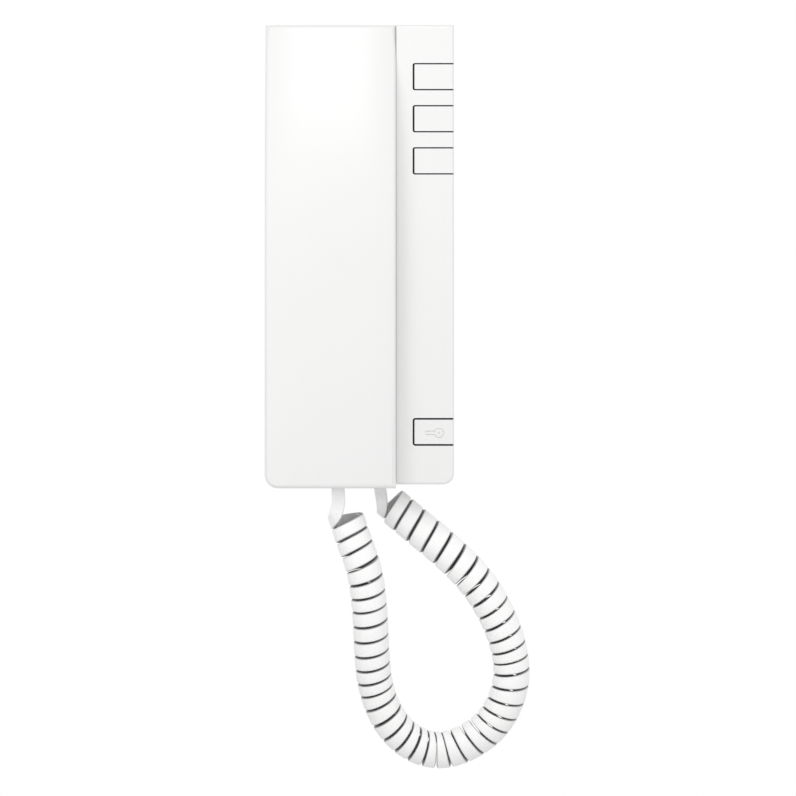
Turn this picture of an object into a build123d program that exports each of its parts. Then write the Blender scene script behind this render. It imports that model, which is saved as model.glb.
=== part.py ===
from build123d import *
import bisect
import math
import os

os.makedirs("parts", exist_ok=True)

# The wall is the plane y = 0, the front looks to -Y, z runs up the wall and x = 0 is the middle of the casing

# Casing, front view
body_width = 84.0
body_height = 204.7
panel_width = 25.68
handset_overhang = 1.6
side_gap = 0.12
base_left_inset = 0.6
cover_corner_radius = 5.0
handset_corner_radius = 6.0
small_corner_radius = 1.2

# Casing, depths measured out from the wall
deck_depth = 18.5
seat_gap = 0.3
parting_height = 3.9
top_depth = 27.0
handset_depth = 45.0
panel_depth = 32.5
handset_sweep_length = 107.35
panel_sweep_length = 113.35
handset_crown = 2.0
handset_edge_radius = 2.0
panel_edge_radius = 1.2
deck_edge_radius = 0.8

# Walls and clearances
wall = 2.2
handset_wall = 2.0
cap_wall = 1.8
fit_gap = 0.3
cover_wall_standoff = 1.0
overrun = 12.0
cutter_reach = 40.0

# Earpiece and mouthpiece caps on the handset's back
ear_drop = 36.35
ear_side_margin = 6.1
ear_height = 5.0
mouth_rise = 30.35
mouth_side_margin = 12.1
mouth_tall = 22.0
mouth_height = 4.0
mouth_corner = 6.0
recess_gap = 1.0
cap_edge_radius = 1.5
ear_hole_radius = 0.9
ear_inner_ring_radius = 6.0
ear_outer_ring_radius = 11.0
ear_inner_ring_count = 6
ear_outer_ring_count = 12
mouth_slot_length = 8.0
mouth_slot_width = 1.2
mouth_slot_step = 3.0
mouth_slot_count = 3

# Earpiece, microphone and ballast
speaker_margin = 3.2
speaker_rim = 2.5
speaker_magnet_radius = 10.0
speaker_magnet_height = 4.5
gasket_height = 1.0
gasket_width = 3.0
speaker_ring_wall = 1.5
speaker_ring_height = 3.0
mic_radius = 4.9
mic_height = 5.0
mic_gap = 0.05
boot_radius = 7.0
boot_floor = 1.0
mic_hole_radius = 1.5
weight_width = 26.0
weight_thick = 6.0
weight_screw_gap = 5.0
weight_low_gap = 33.0
weight_hole_radius = 2.2

# Handset screws, driven from the back
screw_below_ear = 30.0
screw_above_mouth = 24.0
screw_radius = 1.4
screw_head_radius = 2.7
screw_head_height = 1.8
screw_length = 9.0
post_radius = 3.2
screw_slot = 0.7
pilot_gap = 0.02

# Buttons on the side panel
button_width = 18.0
call_button_drop = 23.15
call_button_step = 18.8
call_button_count = 3
door_button_rise = 23.35
button_height = 11.6
call_gap = 0.62
door_gap = 0.8
button_side_gap = 0.85
button_corner = 0.4
seal_recess = 0.45
seal_thick = 1.0
seal_gap = 0.08
button_wrap = 20.0
button_wall = 2.0
button_travel = 0.9
button_back_gap = 1.2
button_stem = 4.0
button_stem_inset = 10.5
button_lip = 1.2
stem_gap = 1.0
key_bow_radius = 1.85
key_bow_hole_radius = 0.5
key_shank_length = 5.5
key_shank_width = 1.1
key_groove = 0.4
key_raise = 0.15
key_groove_depth = 0.35
key_inset = 6.7
key_drop = 0.45

# Wall plate
plate_thickness = 2.5
plate_screw_spacing = 120.0
plate_screw_radius = 2.25
cable_hole_width = 26.0
cable_hole_tall = 28.0
cable_hole_z = 24.0
plate_corner_radius = 3.0
plate_rib = 1.6
plate_rib_height = 3.2

# Boards and what stands on them
board_thickness = 1.6
main_board_margin = 6.8
main_board_tall = 76.0
main_board_z = -6.0
main_board_x = -3.0
board_standoff = 4.0
standoff_radius = 3.0
board_screw_radius = 1.2
board_screw_head = 2.3
board_screw_head_height = 1.4
board_hole_inset = 4.0
cable_window_width = 24.0
cable_window_tall = 20.0
terminal_width = 30.0
terminal_tall = 8.0
terminal_height = 6.4
terminal_step = 5.0
terminal_count = 6
terminal_hole_radius = 1.6
terminal_z = 4.0
ringer_radius = 11.0
ringer_height = 5.5
ringer_hole_radius = 1.5
ringer_inset = 14.0
ringer_z = -26.0
hook_switch_width = 6.0
hook_switch_tall = 12.0
hook_switch_height = 2.6
hook_below_ear = 42.0
hook_inset = 17.4
plunger_width = 4.0
plunger_tall = 7.0
plunger_flange = 1.4
plunger_flange_thick = 1.0
plunger_gap = 0.35
plunger_travel = 4.0
button_board_depth = 15.0
button_board_margin = 2.14
button_board_end_gap = 6.15
tact_size = 6.0
tact_height = 3.5
tact_stem_radius = 1.7
button_post_drop = 19.6
button_post_rise = 19.0
connector_width = 3.0
connector_tall = 11.0
connector_inset = 5.0
connector_z = -22.0

# Cord sockets and plugs
handset_lead_offset = 3.3
handset_socket_front_gap = 7.25
base_lead_inset = 7.17
plug_width = 7.6
plug_thick = 6.4
plug_length = 12.0
plug_gap = 0.15
plug_latch_thick = 0.6
socket_wall = 1.1
socket_length = 15.0

# Cover screw at the bottom
cover_screw_inset = 21.4
cover_screw_depth = 7.0
cover_boss_width = 8.0
cover_boss_length = 9.0
bottom_pad_height = 1.6

# Curly cord
coil_outer_diameter = 15.9
cord_diameter = 4.2
coil_turns = 42.5
coil_start = 5.0
coil_finish = 3.0
coil_lean_degrees = 8.0
lead_straight = 4.6

# The coil's own axis as the photo shows it, from the handset's lead round the loop to the base's lead
coil_axis_route = [
    (-7.6, -25.2, -112.5),
    (-3.6, -25.2, -125.0),
    (2.5, -24.6, -141.0),
    (4.7, -21.6, -160.0),
    (5.2, -17.6, -178.0),
    (7.0, -14.0, -195.0),
    (14.0, -11.6, -210.5),
    (25.0, -10.2, -219.8),
    (37.0, -9.6, -222.2),
    (50.0, -9.6, -218.0),
    (61.0, -9.9, -209.0),
    (67.5, -10.4, -195.0),
    (68.2, -10.8, -181.0),
    (63.5, -11.0, -164.5),
    (54.0, -10.8, -147.0),
    (40.5, -10.2, -132.5),
    (24.0, -9.2, -119.5),
    (10.0, -8.4, -107.8),
]

# Worked out from the sizes above
half_width = body_width / 2
half_height = body_height / 2
handset_width = body_width - side_gap - panel_width
handset_left = -half_width
handset_right = handset_left + handset_width
handset_x = (handset_left + handset_right) / 2
handset_bottom = -half_height - handset_overhang
handset_back = deck_depth + seat_gap
parting_depth = handset_back + parting_height
base_left = -half_width + base_left_inset
panel_left = handset_right + side_gap
handset_bend_z = half_height - handset_sweep_length
panel_bend_z = half_height - panel_sweep_length
ear_z = half_height - ear_drop
ear_radius = handset_width / 2 - ear_side_margin
mouth_z = -half_height + mouth_rise
mouth_width = handset_width - 2 * mouth_side_margin
speaker_radius = ear_radius - cap_wall - speaker_margin
handset_screw_zs = (ear_z - screw_below_ear, mouth_z + screw_above_mouth)
weight_tall = handset_screw_zs[0] - handset_screw_zs[1] - weight_screw_gap - weight_low_gap
weight_z = handset_screw_zs[0] - weight_screw_gap - weight_tall / 2
button_left_x = half_width - button_width
button_stem_x = half_width - button_stem_inset
key_x = half_width - key_inset
call_button_zs = [half_height - call_button_drop - index * call_button_step for index in range(call_button_count)]
door_button_z = -half_height + door_button_rise
key_z = door_button_z - key_drop
button_post_zs = (call_button_zs[-1] - button_post_drop, door_button_z + button_post_rise)
main_board_width = body_width - 2 * wall - 2 * main_board_margin
ringer_x = main_board_x - main_board_width / 2 + ringer_inset
connector_x = main_board_x + main_board_width / 2 - connector_inset
hook_x = base_left + hook_inset
hook_z = ear_z - hook_below_ear
button_board_width = panel_width - 2 * wall - 2 * button_board_margin
button_board_tall = body_height - 2 * wall - 2 * button_board_end_gap
handset_lead_x = handset_x + handset_lead_offset
base_lead_x = panel_left - base_lead_inset
cover_screw_x = base_left + cover_screw_inset
ear_face = handset_back - ear_height
mouth_face = handset_back - mouth_height
deck_floor_depth = deck_depth - wall
plug_slot_width = plug_width + 2 * plug_gap
plug_slot_thick = plug_thick + 2 * plug_gap + plug_latch_thick
socket_width = plug_slot_width + 2 * socket_wall
socket_thick = plug_slot_thick + 2 * socket_wall
socket_rib = handset_wall / 2
base_lead_depth = deck_floor_depth - socket_thick / 2
handset_lead_depth = handset_depth - handset_wall - handset_socket_front_gap - socket_thick / 2


def sweep_radius(low_depth, bend_z):
    """Radius of the long arc that takes a front face from its full depth back to the top edge's depth."""
    rise = half_height - bend_z
    drop = low_depth - top_depth
    return (rise * rise + drop * drop) / (2 * drop)


def front_depth(low_depth, bend_z, z):
    """Depth of a front face at the height z."""
    if z <= bend_z:
        return low_depth
    radius = sweep_radius(low_depth, bend_z)
    return low_depth - radius + math.sqrt(radius * radius - (z - bend_z) ** 2)


def front_cutter(low_depth, bend_z, inset, crown, x_middle, width):
    """Everything in front of a front face that lies inset behind the outer skin."""
    radius = sweep_radius(low_depth, bend_z)
    low = -half_height - handset_overhang - overrun
    face_y = inset - low_depth
    angle = math.asin((half_height + overrun - bend_z) / radius)
    end_y = radius - low_depth - (radius - inset) * math.cos(angle)
    end_z = bend_z + (radius - inset) * math.sin(angle)
    reach = width / 2 + overrun
    sag = crown * (reach / (width / 2)) ** 4
    with BuildPart() as cutter:
        with BuildLine() as path:
            Line((x_middle, face_y, low), (x_middle, face_y, bend_z))
            TangentArc((x_middle, face_y, bend_z), (x_middle, end_y, end_z), tangent=(0, 0, 1))
        with BuildSketch(Plane.XY.offset(low)):
            with BuildLine():
                if crown:
                    # A curve of the fourth power: nearly flat in the middle, rolling off at both sides
                    Bezier(
                        (x_middle - reach, face_y + sag),
                        (x_middle - reach / 2, face_y - sag),
                        (x_middle, face_y + sag),
                        (x_middle + reach / 2, face_y - sag),
                        (x_middle + reach, face_y + sag),
                    )
                else:
                    Line((x_middle - reach, face_y), (x_middle + reach, face_y))
                Polyline(
                    (x_middle + reach, face_y + sag),
                    (x_middle + reach, face_y - cutter_reach),
                    (x_middle - reach, face_y - cutter_reach),
                    (x_middle - reach, face_y + sag),
                )
            make_face()
        sweep(path=path.wire())
    return cutter.part


def rim_edges(part, bend_z):
    """The edges round a front face, without the seam across it at the bend."""
    front = part.faces().filter_by(lambda face: face.normal_at().Y < -0.8)
    edges = []
    for edge in front.edges():
        box = edge.bounding_box()
        seam = abs(box.min.Z - bend_z) < fit_gap and abs(box.max.Z - bend_z) < fit_gap
        if not seam and not any(edge.is_same(other) for other in edges):
            edges.append(edge)
    return edges


def handset_form(inset, back_depth, edge_radius):
    """The handset's outer shape from back_depth forwards, or the space inside it when inset is a wall."""
    cutter = front_cutter(handset_depth, handset_bend_z, inset, handset_crown, handset_x, handset_width)
    middle_z = (half_height + handset_bottom) / 2
    with BuildPart() as form:
        with BuildSketch(Plane.XZ.offset(back_depth)):
            with Locations((handset_x, middle_z)):
                Rectangle(handset_width - 2 * inset, half_height - handset_bottom - 2 * inset)
            low = vertices().group_by(Axis.Y)[0].sort_by(Axis.X)
            high = vertices().group_by(Axis.Y)[-1]
            fillet(low[0], handset_corner_radius - inset)
            fillet([low[-1], *high], max(small_corner_radius - inset, small_corner_radius / 4))
        extrude(amount=handset_depth + small_corner_radius - back_depth)
        add(cutter, mode=Mode.SUBTRACT)
        if edge_radius:
            fillet(rim_edges(form.part, handset_bend_z), edge_radius)
    return form.part


def panel_form(inset, back_depth, edge_radius):
    """The raised side panel's outer shape, or the space inside it when inset is a wall."""
    middle_x = (panel_left + half_width) / 2
    width = half_width - panel_left
    cutter = front_cutter(panel_depth, panel_bend_z, inset, 0, middle_x, width)
    with BuildPart() as form:
        with BuildSketch(Plane.XZ.offset(back_depth)):
            with Locations((middle_x, 0)):
                Rectangle(width - 2 * inset, body_height - 2 * inset)
            right = vertices().group_by(Axis.X)[-1].sort_by(Axis.Y)
            fillet(right[0], cover_corner_radius - inset)
            fillet(right[-1], max(small_corner_radius - inset, small_corner_radius / 4))
        extrude(amount=panel_depth + small_corner_radius - back_depth)
        add(cutter, mode=Mode.SUBTRACT)
        if edge_radius:
            rim = rim_edges(form.part, panel_bend_z)
            fillet([edge for edge in rim if edge.bounding_box().max.X > middle_x], edge_radius)
    return form.part


def round_bars(places, plane, radius, length):
    """Round bars of one radius and length that stand on a plane at the given places."""
    with BuildPart() as bars:
        with BuildSketch(plane):
            with Locations(*places):
                Circle(radius)
        extrude(amount=length)
    return bars.part


def handset_outline(back_depth, inset, height):
    """A straight slab with the handset's outline."""
    middle_z = (half_height + handset_bottom) / 2
    with BuildPart() as slab:
        with BuildSketch(Plane.XZ.offset(back_depth)):
            with Locations((handset_x, middle_z)):
                Rectangle(handset_width - 2 * inset, half_height - handset_bottom - 2 * inset)
            low = vertices().group_by(Axis.Y)[0].sort_by(Axis.X)
            high = vertices().group_by(Axis.Y)[-1]
            fillet(low[0], handset_corner_radius - inset)
            fillet([low[-1], *high], max(small_corner_radius - inset, small_corner_radius / 4))
        extrude(amount=height)
    return slab.part


def cap_block(face_depth, to_depth, grow):
    """The mouthpiece cap's rounded block, grown by grow on every side."""
    with BuildPart() as block:
        with BuildSketch(Plane.XZ.offset(face_depth)):
            with Locations((handset_x, mouth_z)):
                RectangleRounded(mouth_width + 2 * grow, mouth_tall + 2 * grow, mouth_corner + grow)
        extrude(amount=to_depth - face_depth)
    return block.part


def base_slab(left, right, half_tall, near, far, corner):
    """A slab of the base with rounded lower corners, from the depth near to the depth far."""
    with BuildPart() as slab:
        with BuildSketch(Plane.XZ.offset(near)):
            with Locations(((left + right) / 2, 0)):
                Rectangle(right - left, 2 * half_tall)
            low = vertices().group_by(Axis.Y)[0]
            high = vertices().group_by(Axis.Y)[-1]
            fillet(low, corner)
            fillet(high, small_corner_radius / 2)
        extrude(amount=far - near)
    return slab.part


# Handset front shell
handset_outer = handset_form(0, parting_depth, handset_edge_radius)
handset_inner = handset_form(handset_wall, parting_depth - handset_wall, 0)
with BuildPart() as handset_front:
    add(handset_outer)
    add(handset_inner, mode=Mode.SUBTRACT)
    for screw_z in handset_screw_zs:
        post_height = front_depth(handset_depth, handset_bend_z, screw_z) - handset_wall / 2 - parting_depth
        with BuildSketch(Plane.XZ.offset(parting_depth)):
            with Locations((handset_x, screw_z)):
                Circle(post_radius)
        extrude(amount=post_height)
    with BuildSketch(Plane.XY.offset(handset_bottom + handset_wall / 2)):
        with Locations(
            (handset_lead_x - socket_width / 2 - plug_gap - socket_rib / 2, -handset_depth + parting_height * 2),
            (handset_lead_x + socket_width / 2 + plug_gap + socket_rib / 2, -handset_depth + parting_height * 2),
        ):
            Rectangle(socket_rib, 4 * parting_height - handset_wall)
    extrude(amount=socket_length / 2)
    with BuildSketch(Plane.XZ.offset(parting_depth)):
        with Locations(*[(handset_x, screw_z) for screw_z in handset_screw_zs]):
            Circle(screw_radius + pilot_gap)
    extrude(amount=screw_length, mode=Mode.SUBTRACT)
    with BuildSketch(Plane.XY.offset(handset_bottom - handset_wall)):
        with Locations((handset_lead_x, -handset_lead_depth)):
            Rectangle(plug_slot_width, plug_slot_thick)
    extrude(amount=3 * handset_wall, mode=Mode.SUBTRACT)
handset_front.part.label = "handset_front"
export_step(handset_front.part, "parts/handset_front.step")

# Handset rear shell with the earpiece and mouthpiece caps
rear_floor_depth = handset_back + handset_wall
ear_floor_depth = ear_face + cap_wall
mouth_floor_depth = mouth_face + cap_wall
ear_plane = Plane.XZ.offset(ear_face)
screw_seat_depth = handset_back + fit_gap + screw_head_height
screw_places = [(handset_x, screw_z) for screw_z in handset_screw_zs]
weight_peg_places = [(handset_x, weight_z - weight_tall / 4), (handset_x, weight_z + weight_tall / 4)]
with BuildPart() as handset_rear:
    add(handset_outline(handset_back, 0, parting_height))
    fillet(faces().sort_by(Axis.Y)[-1].edges(), small_corner_radius * 2 / 3)
    add(handset_outline(rear_floor_depth, handset_wall, parting_height), mode=Mode.SUBTRACT)
    with BuildSketch(ear_plane):
        with Locations((handset_x, ear_z)):
            Circle(ear_radius)
    extrude(amount=ear_height + handset_wall)
    fillet(faces().sort_by(Axis.Y)[-1].edges(), cap_edge_radius)
    add(cap_block(mouth_face, rear_floor_depth, 0))
    mouth_front = faces().filter_by_position(Axis.Y, -mouth_face - fit_gap, -mouth_face + fit_gap)
    fillet(mouth_front.sort_by(Axis.Z)[0].edges(), cap_edge_radius)
    with BuildSketch(Plane.XZ.offset(ear_floor_depth)):
        with Locations((handset_x, ear_z)):
            Circle(ear_radius - cap_wall)
    extrude(amount=parting_height + ear_height, mode=Mode.SUBTRACT)
    add(cap_block(mouth_floor_depth, parting_depth, -cap_wall), mode=Mode.SUBTRACT)
    with BuildSketch(Plane.XZ.offset(ear_floor_depth)):
        with Locations((handset_x, ear_z)):
            Circle(speaker_radius + fit_gap + speaker_ring_wall)
            Circle(speaker_radius + fit_gap, mode=Mode.SUBTRACT)
    extrude(amount=speaker_ring_height)
    with BuildSketch(Plane.XZ.offset(mouth_floor_depth)):
        with Locations((handset_x, mouth_z)):
            Circle(boot_radius + plug_gap + speaker_ring_wall)
            Circle(boot_radius + plug_gap, mode=Mode.SUBTRACT)
    extrude(amount=speaker_ring_height)
    with BuildSketch(Plane.XZ.offset(handset_back + handset_wall / 2)):
        with Locations(*screw_places):
            Circle(post_radius + handset_wall / 2)
    extrude(amount=parting_height - handset_wall / 2)
    with BuildSketch(Plane.XZ.offset(rear_floor_depth)):
        with Locations(*weight_peg_places):
            Circle(weight_hole_radius - plug_gap)
    extrude(amount=weight_thick)
    with BuildSketch(Plane.XZ.offset(handset_back)):
        with Locations(*screw_places):
            Circle(screw_head_radius + fit_gap)
    extrude(amount=screw_seat_depth - handset_back, mode=Mode.SUBTRACT)
    with BuildSketch(Plane.XZ.offset(handset_back)):
        with Locations(*screw_places):
            Circle(screw_radius + plug_gap)
    extrude(amount=2 * parting_height, mode=Mode.SUBTRACT)
    with BuildSketch(ear_plane):
        with Locations((handset_x, ear_z)):
            Circle(ear_hole_radius)
            with PolarLocations(ear_inner_ring_radius, ear_inner_ring_count):
                Circle(ear_hole_radius)
            with PolarLocations(ear_outer_ring_radius, ear_outer_ring_count):
                Circle(ear_hole_radius)
    extrude(amount=2 * cap_wall, mode=Mode.SUBTRACT)
    with BuildSketch(Plane.XZ.offset(mouth_face)):
        with Locations((handset_x, mouth_z)):
            with GridLocations(mouth_slot_step, mouth_slot_step, 1, mouth_slot_count):
                SlotOverall(mouth_slot_length, mouth_slot_width)
    extrude(amount=cap_wall + fit_gap, mode=Mode.SUBTRACT)
handset_rear.part.label = "handset_rear"
export_step(handset_rear.part, "parts/handset_rear.step")

# Handset screws
head_top_depth = handset_back + fit_gap
with BuildPart() as handset_screws:
    add(round_bars(screw_places, Plane.XZ.offset(head_top_depth), screw_head_radius, screw_head_height))
    add(round_bars(screw_places, Plane.XZ.offset(screw_seat_depth), screw_radius, screw_length))
    with BuildSketch(Plane.XZ.offset(head_top_depth)):
        with Locations(*screw_places):
            Rectangle(screw_head_radius, screw_slot)
            Rectangle(screw_slot, screw_head_radius)
    extrude(amount=screw_head_height / 2, mode=Mode.SUBTRACT)
handset_screws.part.label = "handset_screws"
export_step(handset_screws.part, "parts/handset_screws.step")

# Earpiece speaker and its foam gasket
with BuildPart() as earpiece_gasket:
    with BuildSketch(Plane.XZ.offset(ear_floor_depth)):
        with Locations((handset_x, ear_z)):
            Circle(speaker_radius)
            Circle(speaker_radius - gasket_width, mode=Mode.SUBTRACT)
    extrude(amount=gasket_height)
earpiece_gasket.part.label = "earpiece_gasket"
export_step(earpiece_gasket.part, "parts/earpiece_gasket.step")

speaker_face_depth = ear_floor_depth + gasket_height
with BuildPart() as earpiece_speaker:
    with BuildSketch(Plane.XZ.offset(speaker_face_depth)):
        with Locations((handset_x, ear_z)):
            Circle(speaker_radius)
    extrude(amount=speaker_rim)
    with BuildSketch(Plane.XZ.offset(speaker_face_depth + speaker_rim)):
        with Locations((handset_x, ear_z)):
            Circle(speaker_magnet_radius)
    extrude(amount=speaker_magnet_height)
    with BuildSketch(Plane.XZ.offset(speaker_face_depth)):
        with Locations((handset_x, ear_z)):
            Circle(speaker_radius - gasket_width)
    extrude(amount=speaker_rim / 2, taper=45, mode=Mode.SUBTRACT)
earpiece_speaker.part.label = "earpiece_speaker"
export_step(earpiece_speaker.part, "parts/earpiece_speaker.step")

# Microphone in its rubber boot
with BuildPart() as microphone_boot:
    with BuildSketch(Plane.XZ.offset(mouth_floor_depth)):
        with Locations((handset_x, mouth_z)):
            Circle(boot_radius)
    extrude(amount=boot_floor + mic_height)
    with BuildSketch(Plane.XZ.offset(mouth_floor_depth + boot_floor)):
        with Locations((handset_x, mouth_z)):
            Circle(mic_radius + mic_gap)
    extrude(amount=mic_height, mode=Mode.SUBTRACT)
    with BuildSketch(Plane.XZ.offset(mouth_floor_depth)):
        with Locations((handset_x, mouth_z)):
            Circle(mic_hole_radius)
    extrude(amount=boot_floor, mode=Mode.SUBTRACT)
microphone_boot.part.label = "microphone_boot"
export_step(microphone_boot.part, "parts/microphone_boot.step")

mic_plane = Plane.XZ.offset(mouth_floor_depth + boot_floor)
with BuildPart() as microphone:
    add(round_bars([(handset_x, mouth_z)], mic_plane, mic_radius, mic_height))
microphone.part.label = "microphone"
export_step(microphone.part, "parts/microphone.step")

# Steel ballast that gives the handset its weight
with BuildPart() as handset_weight:
    with BuildSketch(Plane.XZ.offset(rear_floor_depth)):
        with Locations((handset_x, weight_z)):
            RectangleRounded(weight_width, weight_tall, weight_hole_radius)
        with Locations(*weight_peg_places):
            Circle(weight_hole_radius, mode=Mode.SUBTRACT)
    extrude(amount=weight_thick)
handset_weight.part.label = "handset_weight"
export_step(handset_weight.part, "parts/handset_weight.step")


def cord_socket_piece(x, depth, bottom):
    """A socket that stands on the inside of a bottom wall, open downwards."""
    with BuildPart() as socket:
        with BuildSketch(Plane.XY.offset(bottom)):
            with Locations((x, -depth)):
                Rectangle(socket_width, socket_thick)
        extrude(amount=socket_length)
        with BuildSketch(Plane.XY.offset(bottom)):
            with Locations((x, -depth)):
                Rectangle(plug_slot_width, plug_slot_thick)
        extrude(amount=socket_length - socket_wall, mode=Mode.SUBTRACT)
    return socket.part


def cord_plug_piece(x, depth, bottom):
    """A plug with its latch, its cord end level with the outside of the wall that it goes through."""
    with BuildPart() as plug:
        with BuildSketch(Plane.XY.offset(bottom)):
            with Locations((x, -depth + plug_latch_thick / 2)):
                Rectangle(plug_width, plug_thick)
        extrude(amount=plug_length)
        with BuildSketch(Plane.XY.offset(bottom + wall)):
            with Locations((x, -depth - plug_thick / 2)):
                Rectangle(plug_width / 2, plug_latch_thick)
        extrude(amount=plug_length / 2)
        chamfer(faces().sort_by(Axis.Z)[-1].edges(), plug_latch_thick)
    return plug.part


# Handset cord socket and plug
with BuildPart() as handset_cord_socket:
    add(cord_socket_piece(handset_lead_x, handset_lead_depth, handset_bottom + handset_wall))
handset_cord_socket.part.label = "handset_cord_socket"
export_step(handset_cord_socket.part, "parts/handset_cord_socket.step")

with BuildPart() as handset_cord_plug:
    add(cord_plug_piece(handset_lead_x, handset_lead_depth, handset_bottom))
handset_cord_plug.part.label = "handset_cord_plug"
export_step(handset_cord_plug.part, "parts/handset_cord_plug.step")

# Base cover: cradle deck on the left, raised side panel on the right
ear_recess_depth = ear_face - seat_gap
mouth_recess_depth = mouth_face - seat_gap
cover_inner_half = half_height - wall
panel_middle_x = (panel_left + half_width) / 2
button_post_places = [(panel_middle_x, post_z) for post_z in button_post_zs]
hook_hole_width = plunger_width + 2 * plunger_gap
hook_hole_tall = plunger_tall + 2 * plunger_gap
button_specs = [(call_z, call_gap) for call_z in call_button_zs] + [(door_button_z, door_gap)]
with BuildPart() as base_cover:
    add(base_slab(base_left, panel_left + wall, half_height, cover_wall_standoff, deck_depth, cover_corner_radius))
    fillet(faces().sort_by(Axis.Y)[0].edges(), deck_edge_radius)
    add(panel_form(0, cover_wall_standoff, panel_edge_radius))
    add(
        base_slab(
            base_left + wall, half_width - wall, cover_inner_half, 0, deck_floor_depth, cover_corner_radius - wall
        ),
        mode=Mode.SUBTRACT,
    )
    add(panel_form(wall, cover_wall_standoff, 0), mode=Mode.SUBTRACT)
    with BuildSketch(Plane.XZ.offset(ear_recess_depth - cap_wall)):
        with Locations((handset_x, ear_z)):
            Circle(ear_radius + recess_gap + cap_wall)
    extrude(amount=deck_floor_depth - ear_recess_depth + cap_wall)
    add(cap_block(mouth_recess_depth - cap_wall, deck_floor_depth, recess_gap + cap_wall))
    with BuildSketch(Plane.XZ.offset(ear_recess_depth)):
        with Locations((handset_x, ear_z)):
            Circle(ear_radius + recess_gap)
    extrude(amount=deck_depth, mode=Mode.SUBTRACT)
    add(cap_block(mouth_recess_depth, 2 * deck_depth, recess_gap), mode=Mode.SUBTRACT)
    with BuildSketch(Plane.XZ.offset(button_board_depth + board_thickness)):
        with Locations(*button_post_places):
            Circle(standoff_radius)
    extrude(amount=panel_depth - wall / 2 - button_board_depth - board_thickness)
    with BuildSketch(Plane.XY.offset(-half_height + wall / 2)):
        with Locations((cover_screw_x, -cover_screw_depth)):
            Circle(screw_head_radius + wall)
    extrude(amount=wall / 2 + bottom_pad_height)
    with BuildSketch(Plane.XZ.offset(deck_depth / 2)):
        with Locations((hook_x, hook_z)):
            Rectangle(hook_hole_width, hook_hole_tall)
    extrude(amount=deck_depth, mode=Mode.SUBTRACT)
    with BuildSketch(Plane.XZ.offset(button_board_depth)):
        with Locations(*button_post_places):
            Circle(board_screw_radius + pilot_gap)
    extrude(amount=screw_length, mode=Mode.SUBTRACT)
    for button_z, gap in button_specs:
        side = button_side_gap
        opening_width = half_width + overrun - button_left_x + side / 2
        with BuildSketch(Plane.XZ.offset(button_wrap - button_back_gap)):
            with Locations((button_left_x - side / 2 + opening_width / 2, button_z)):
                RectangleRounded(opening_width, button_height + gap, button_corner + gap)
        extrude(amount=panel_depth, mode=Mode.SUBTRACT)
    with BuildSketch(Plane.XY.offset(-half_height - wall)):
        with Locations((base_lead_x, -base_lead_depth)):
            Rectangle(plug_slot_width, plug_slot_thick)
        with Locations((cover_screw_x, -cover_screw_depth)):
            Circle(screw_radius + plug_gap)
    extrude(amount=3 * wall, mode=Mode.SUBTRACT)
    with BuildSketch(Plane.XY.offset(-half_height)):
        with Locations((cover_screw_x, -cover_screw_depth)):
            Circle(screw_head_radius + plug_gap)
    extrude(amount=wall, mode=Mode.SUBTRACT)
base_cover.part.label = "base_cover"
export_step(base_cover.part, "parts/base_cover.step")

# Wall plate with its rim, standoffs, screw boss and cable hole
plate_left = base_left + wall + fit_gap
plate_right = half_width - wall - fit_gap
plate_half = cover_inner_half - fit_gap
standoff_places = [
    (main_board_x + side_x * (main_board_width / 2 - board_hole_inset),
     main_board_z + side_z * (main_board_tall / 2 - board_hole_inset))
    for side_x in (-1, 1)
    for side_z in (-1, 1)
]
cover_boss_bottom = -half_height + wall + bottom_pad_height + plug_gap
with BuildPart() as wall_plate:
    add(base_slab(plate_left, plate_right, plate_half, 0, plate_thickness, plate_corner_radius))
    add(
        base_slab(plate_left, plate_right, plate_half, plate_thickness, plate_thickness + plate_rib_height,
                  plate_corner_radius)
    )
    add(
        base_slab(plate_left + plate_rib, plate_right - plate_rib, plate_half - plate_rib, plate_thickness,
                  plate_thickness + plate_rib_height, plate_corner_radius - plate_rib),
        mode=Mode.SUBTRACT,
    )
    with BuildSketch(Plane.XZ.offset(plate_thickness)):
        with Locations(*standoff_places):
            Circle(standoff_radius)
    extrude(amount=board_standoff)
    with BuildSketch(Plane.XZ.offset(plate_thickness / 2)):
        with Locations((cover_screw_x, cover_boss_bottom + cover_boss_length / 2)):
            Rectangle(cover_boss_width, cover_boss_length)
    extrude(amount=cover_screw_depth + cover_boss_width / 2 - plate_thickness / 2)
    with BuildSketch(Plane.XY.offset(-half_height)):
        with Locations((cover_screw_x, -cover_screw_depth)):
            Circle(screw_radius + pilot_gap)
    extrude(amount=wall + bottom_pad_height + cover_boss_length, mode=Mode.SUBTRACT)
    with BuildSketch(Plane.XY.offset(-half_height)):
        with Locations((cover_screw_x, -cover_screw_depth)):
            Circle(screw_head_radius + wall + fit_gap)
    extrude(amount=cover_boss_bottom + half_height, mode=Mode.SUBTRACT)
    with BuildSketch(Plane.XZ):
        with Locations((0, plate_screw_spacing / 2), (0, -plate_screw_spacing / 2)):
            Circle(plate_screw_radius)
        with Locations((0, cable_hole_z)):
            RectangleRounded(cable_hole_width, cable_hole_tall, plate_corner_radius)
    extrude(amount=plate_thickness, mode=Mode.SUBTRACT)
    with BuildSketch(Plane.XZ.offset(plate_thickness / 2)):
        with Locations(*standoff_places):
            Circle(board_screw_radius + pilot_gap)
    extrude(amount=plate_thickness / 2 + board_standoff, mode=Mode.SUBTRACT)
wall_plate.part.label = "wall_plate"
export_step(wall_plate.part, "parts/wall_plate.step")

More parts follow.
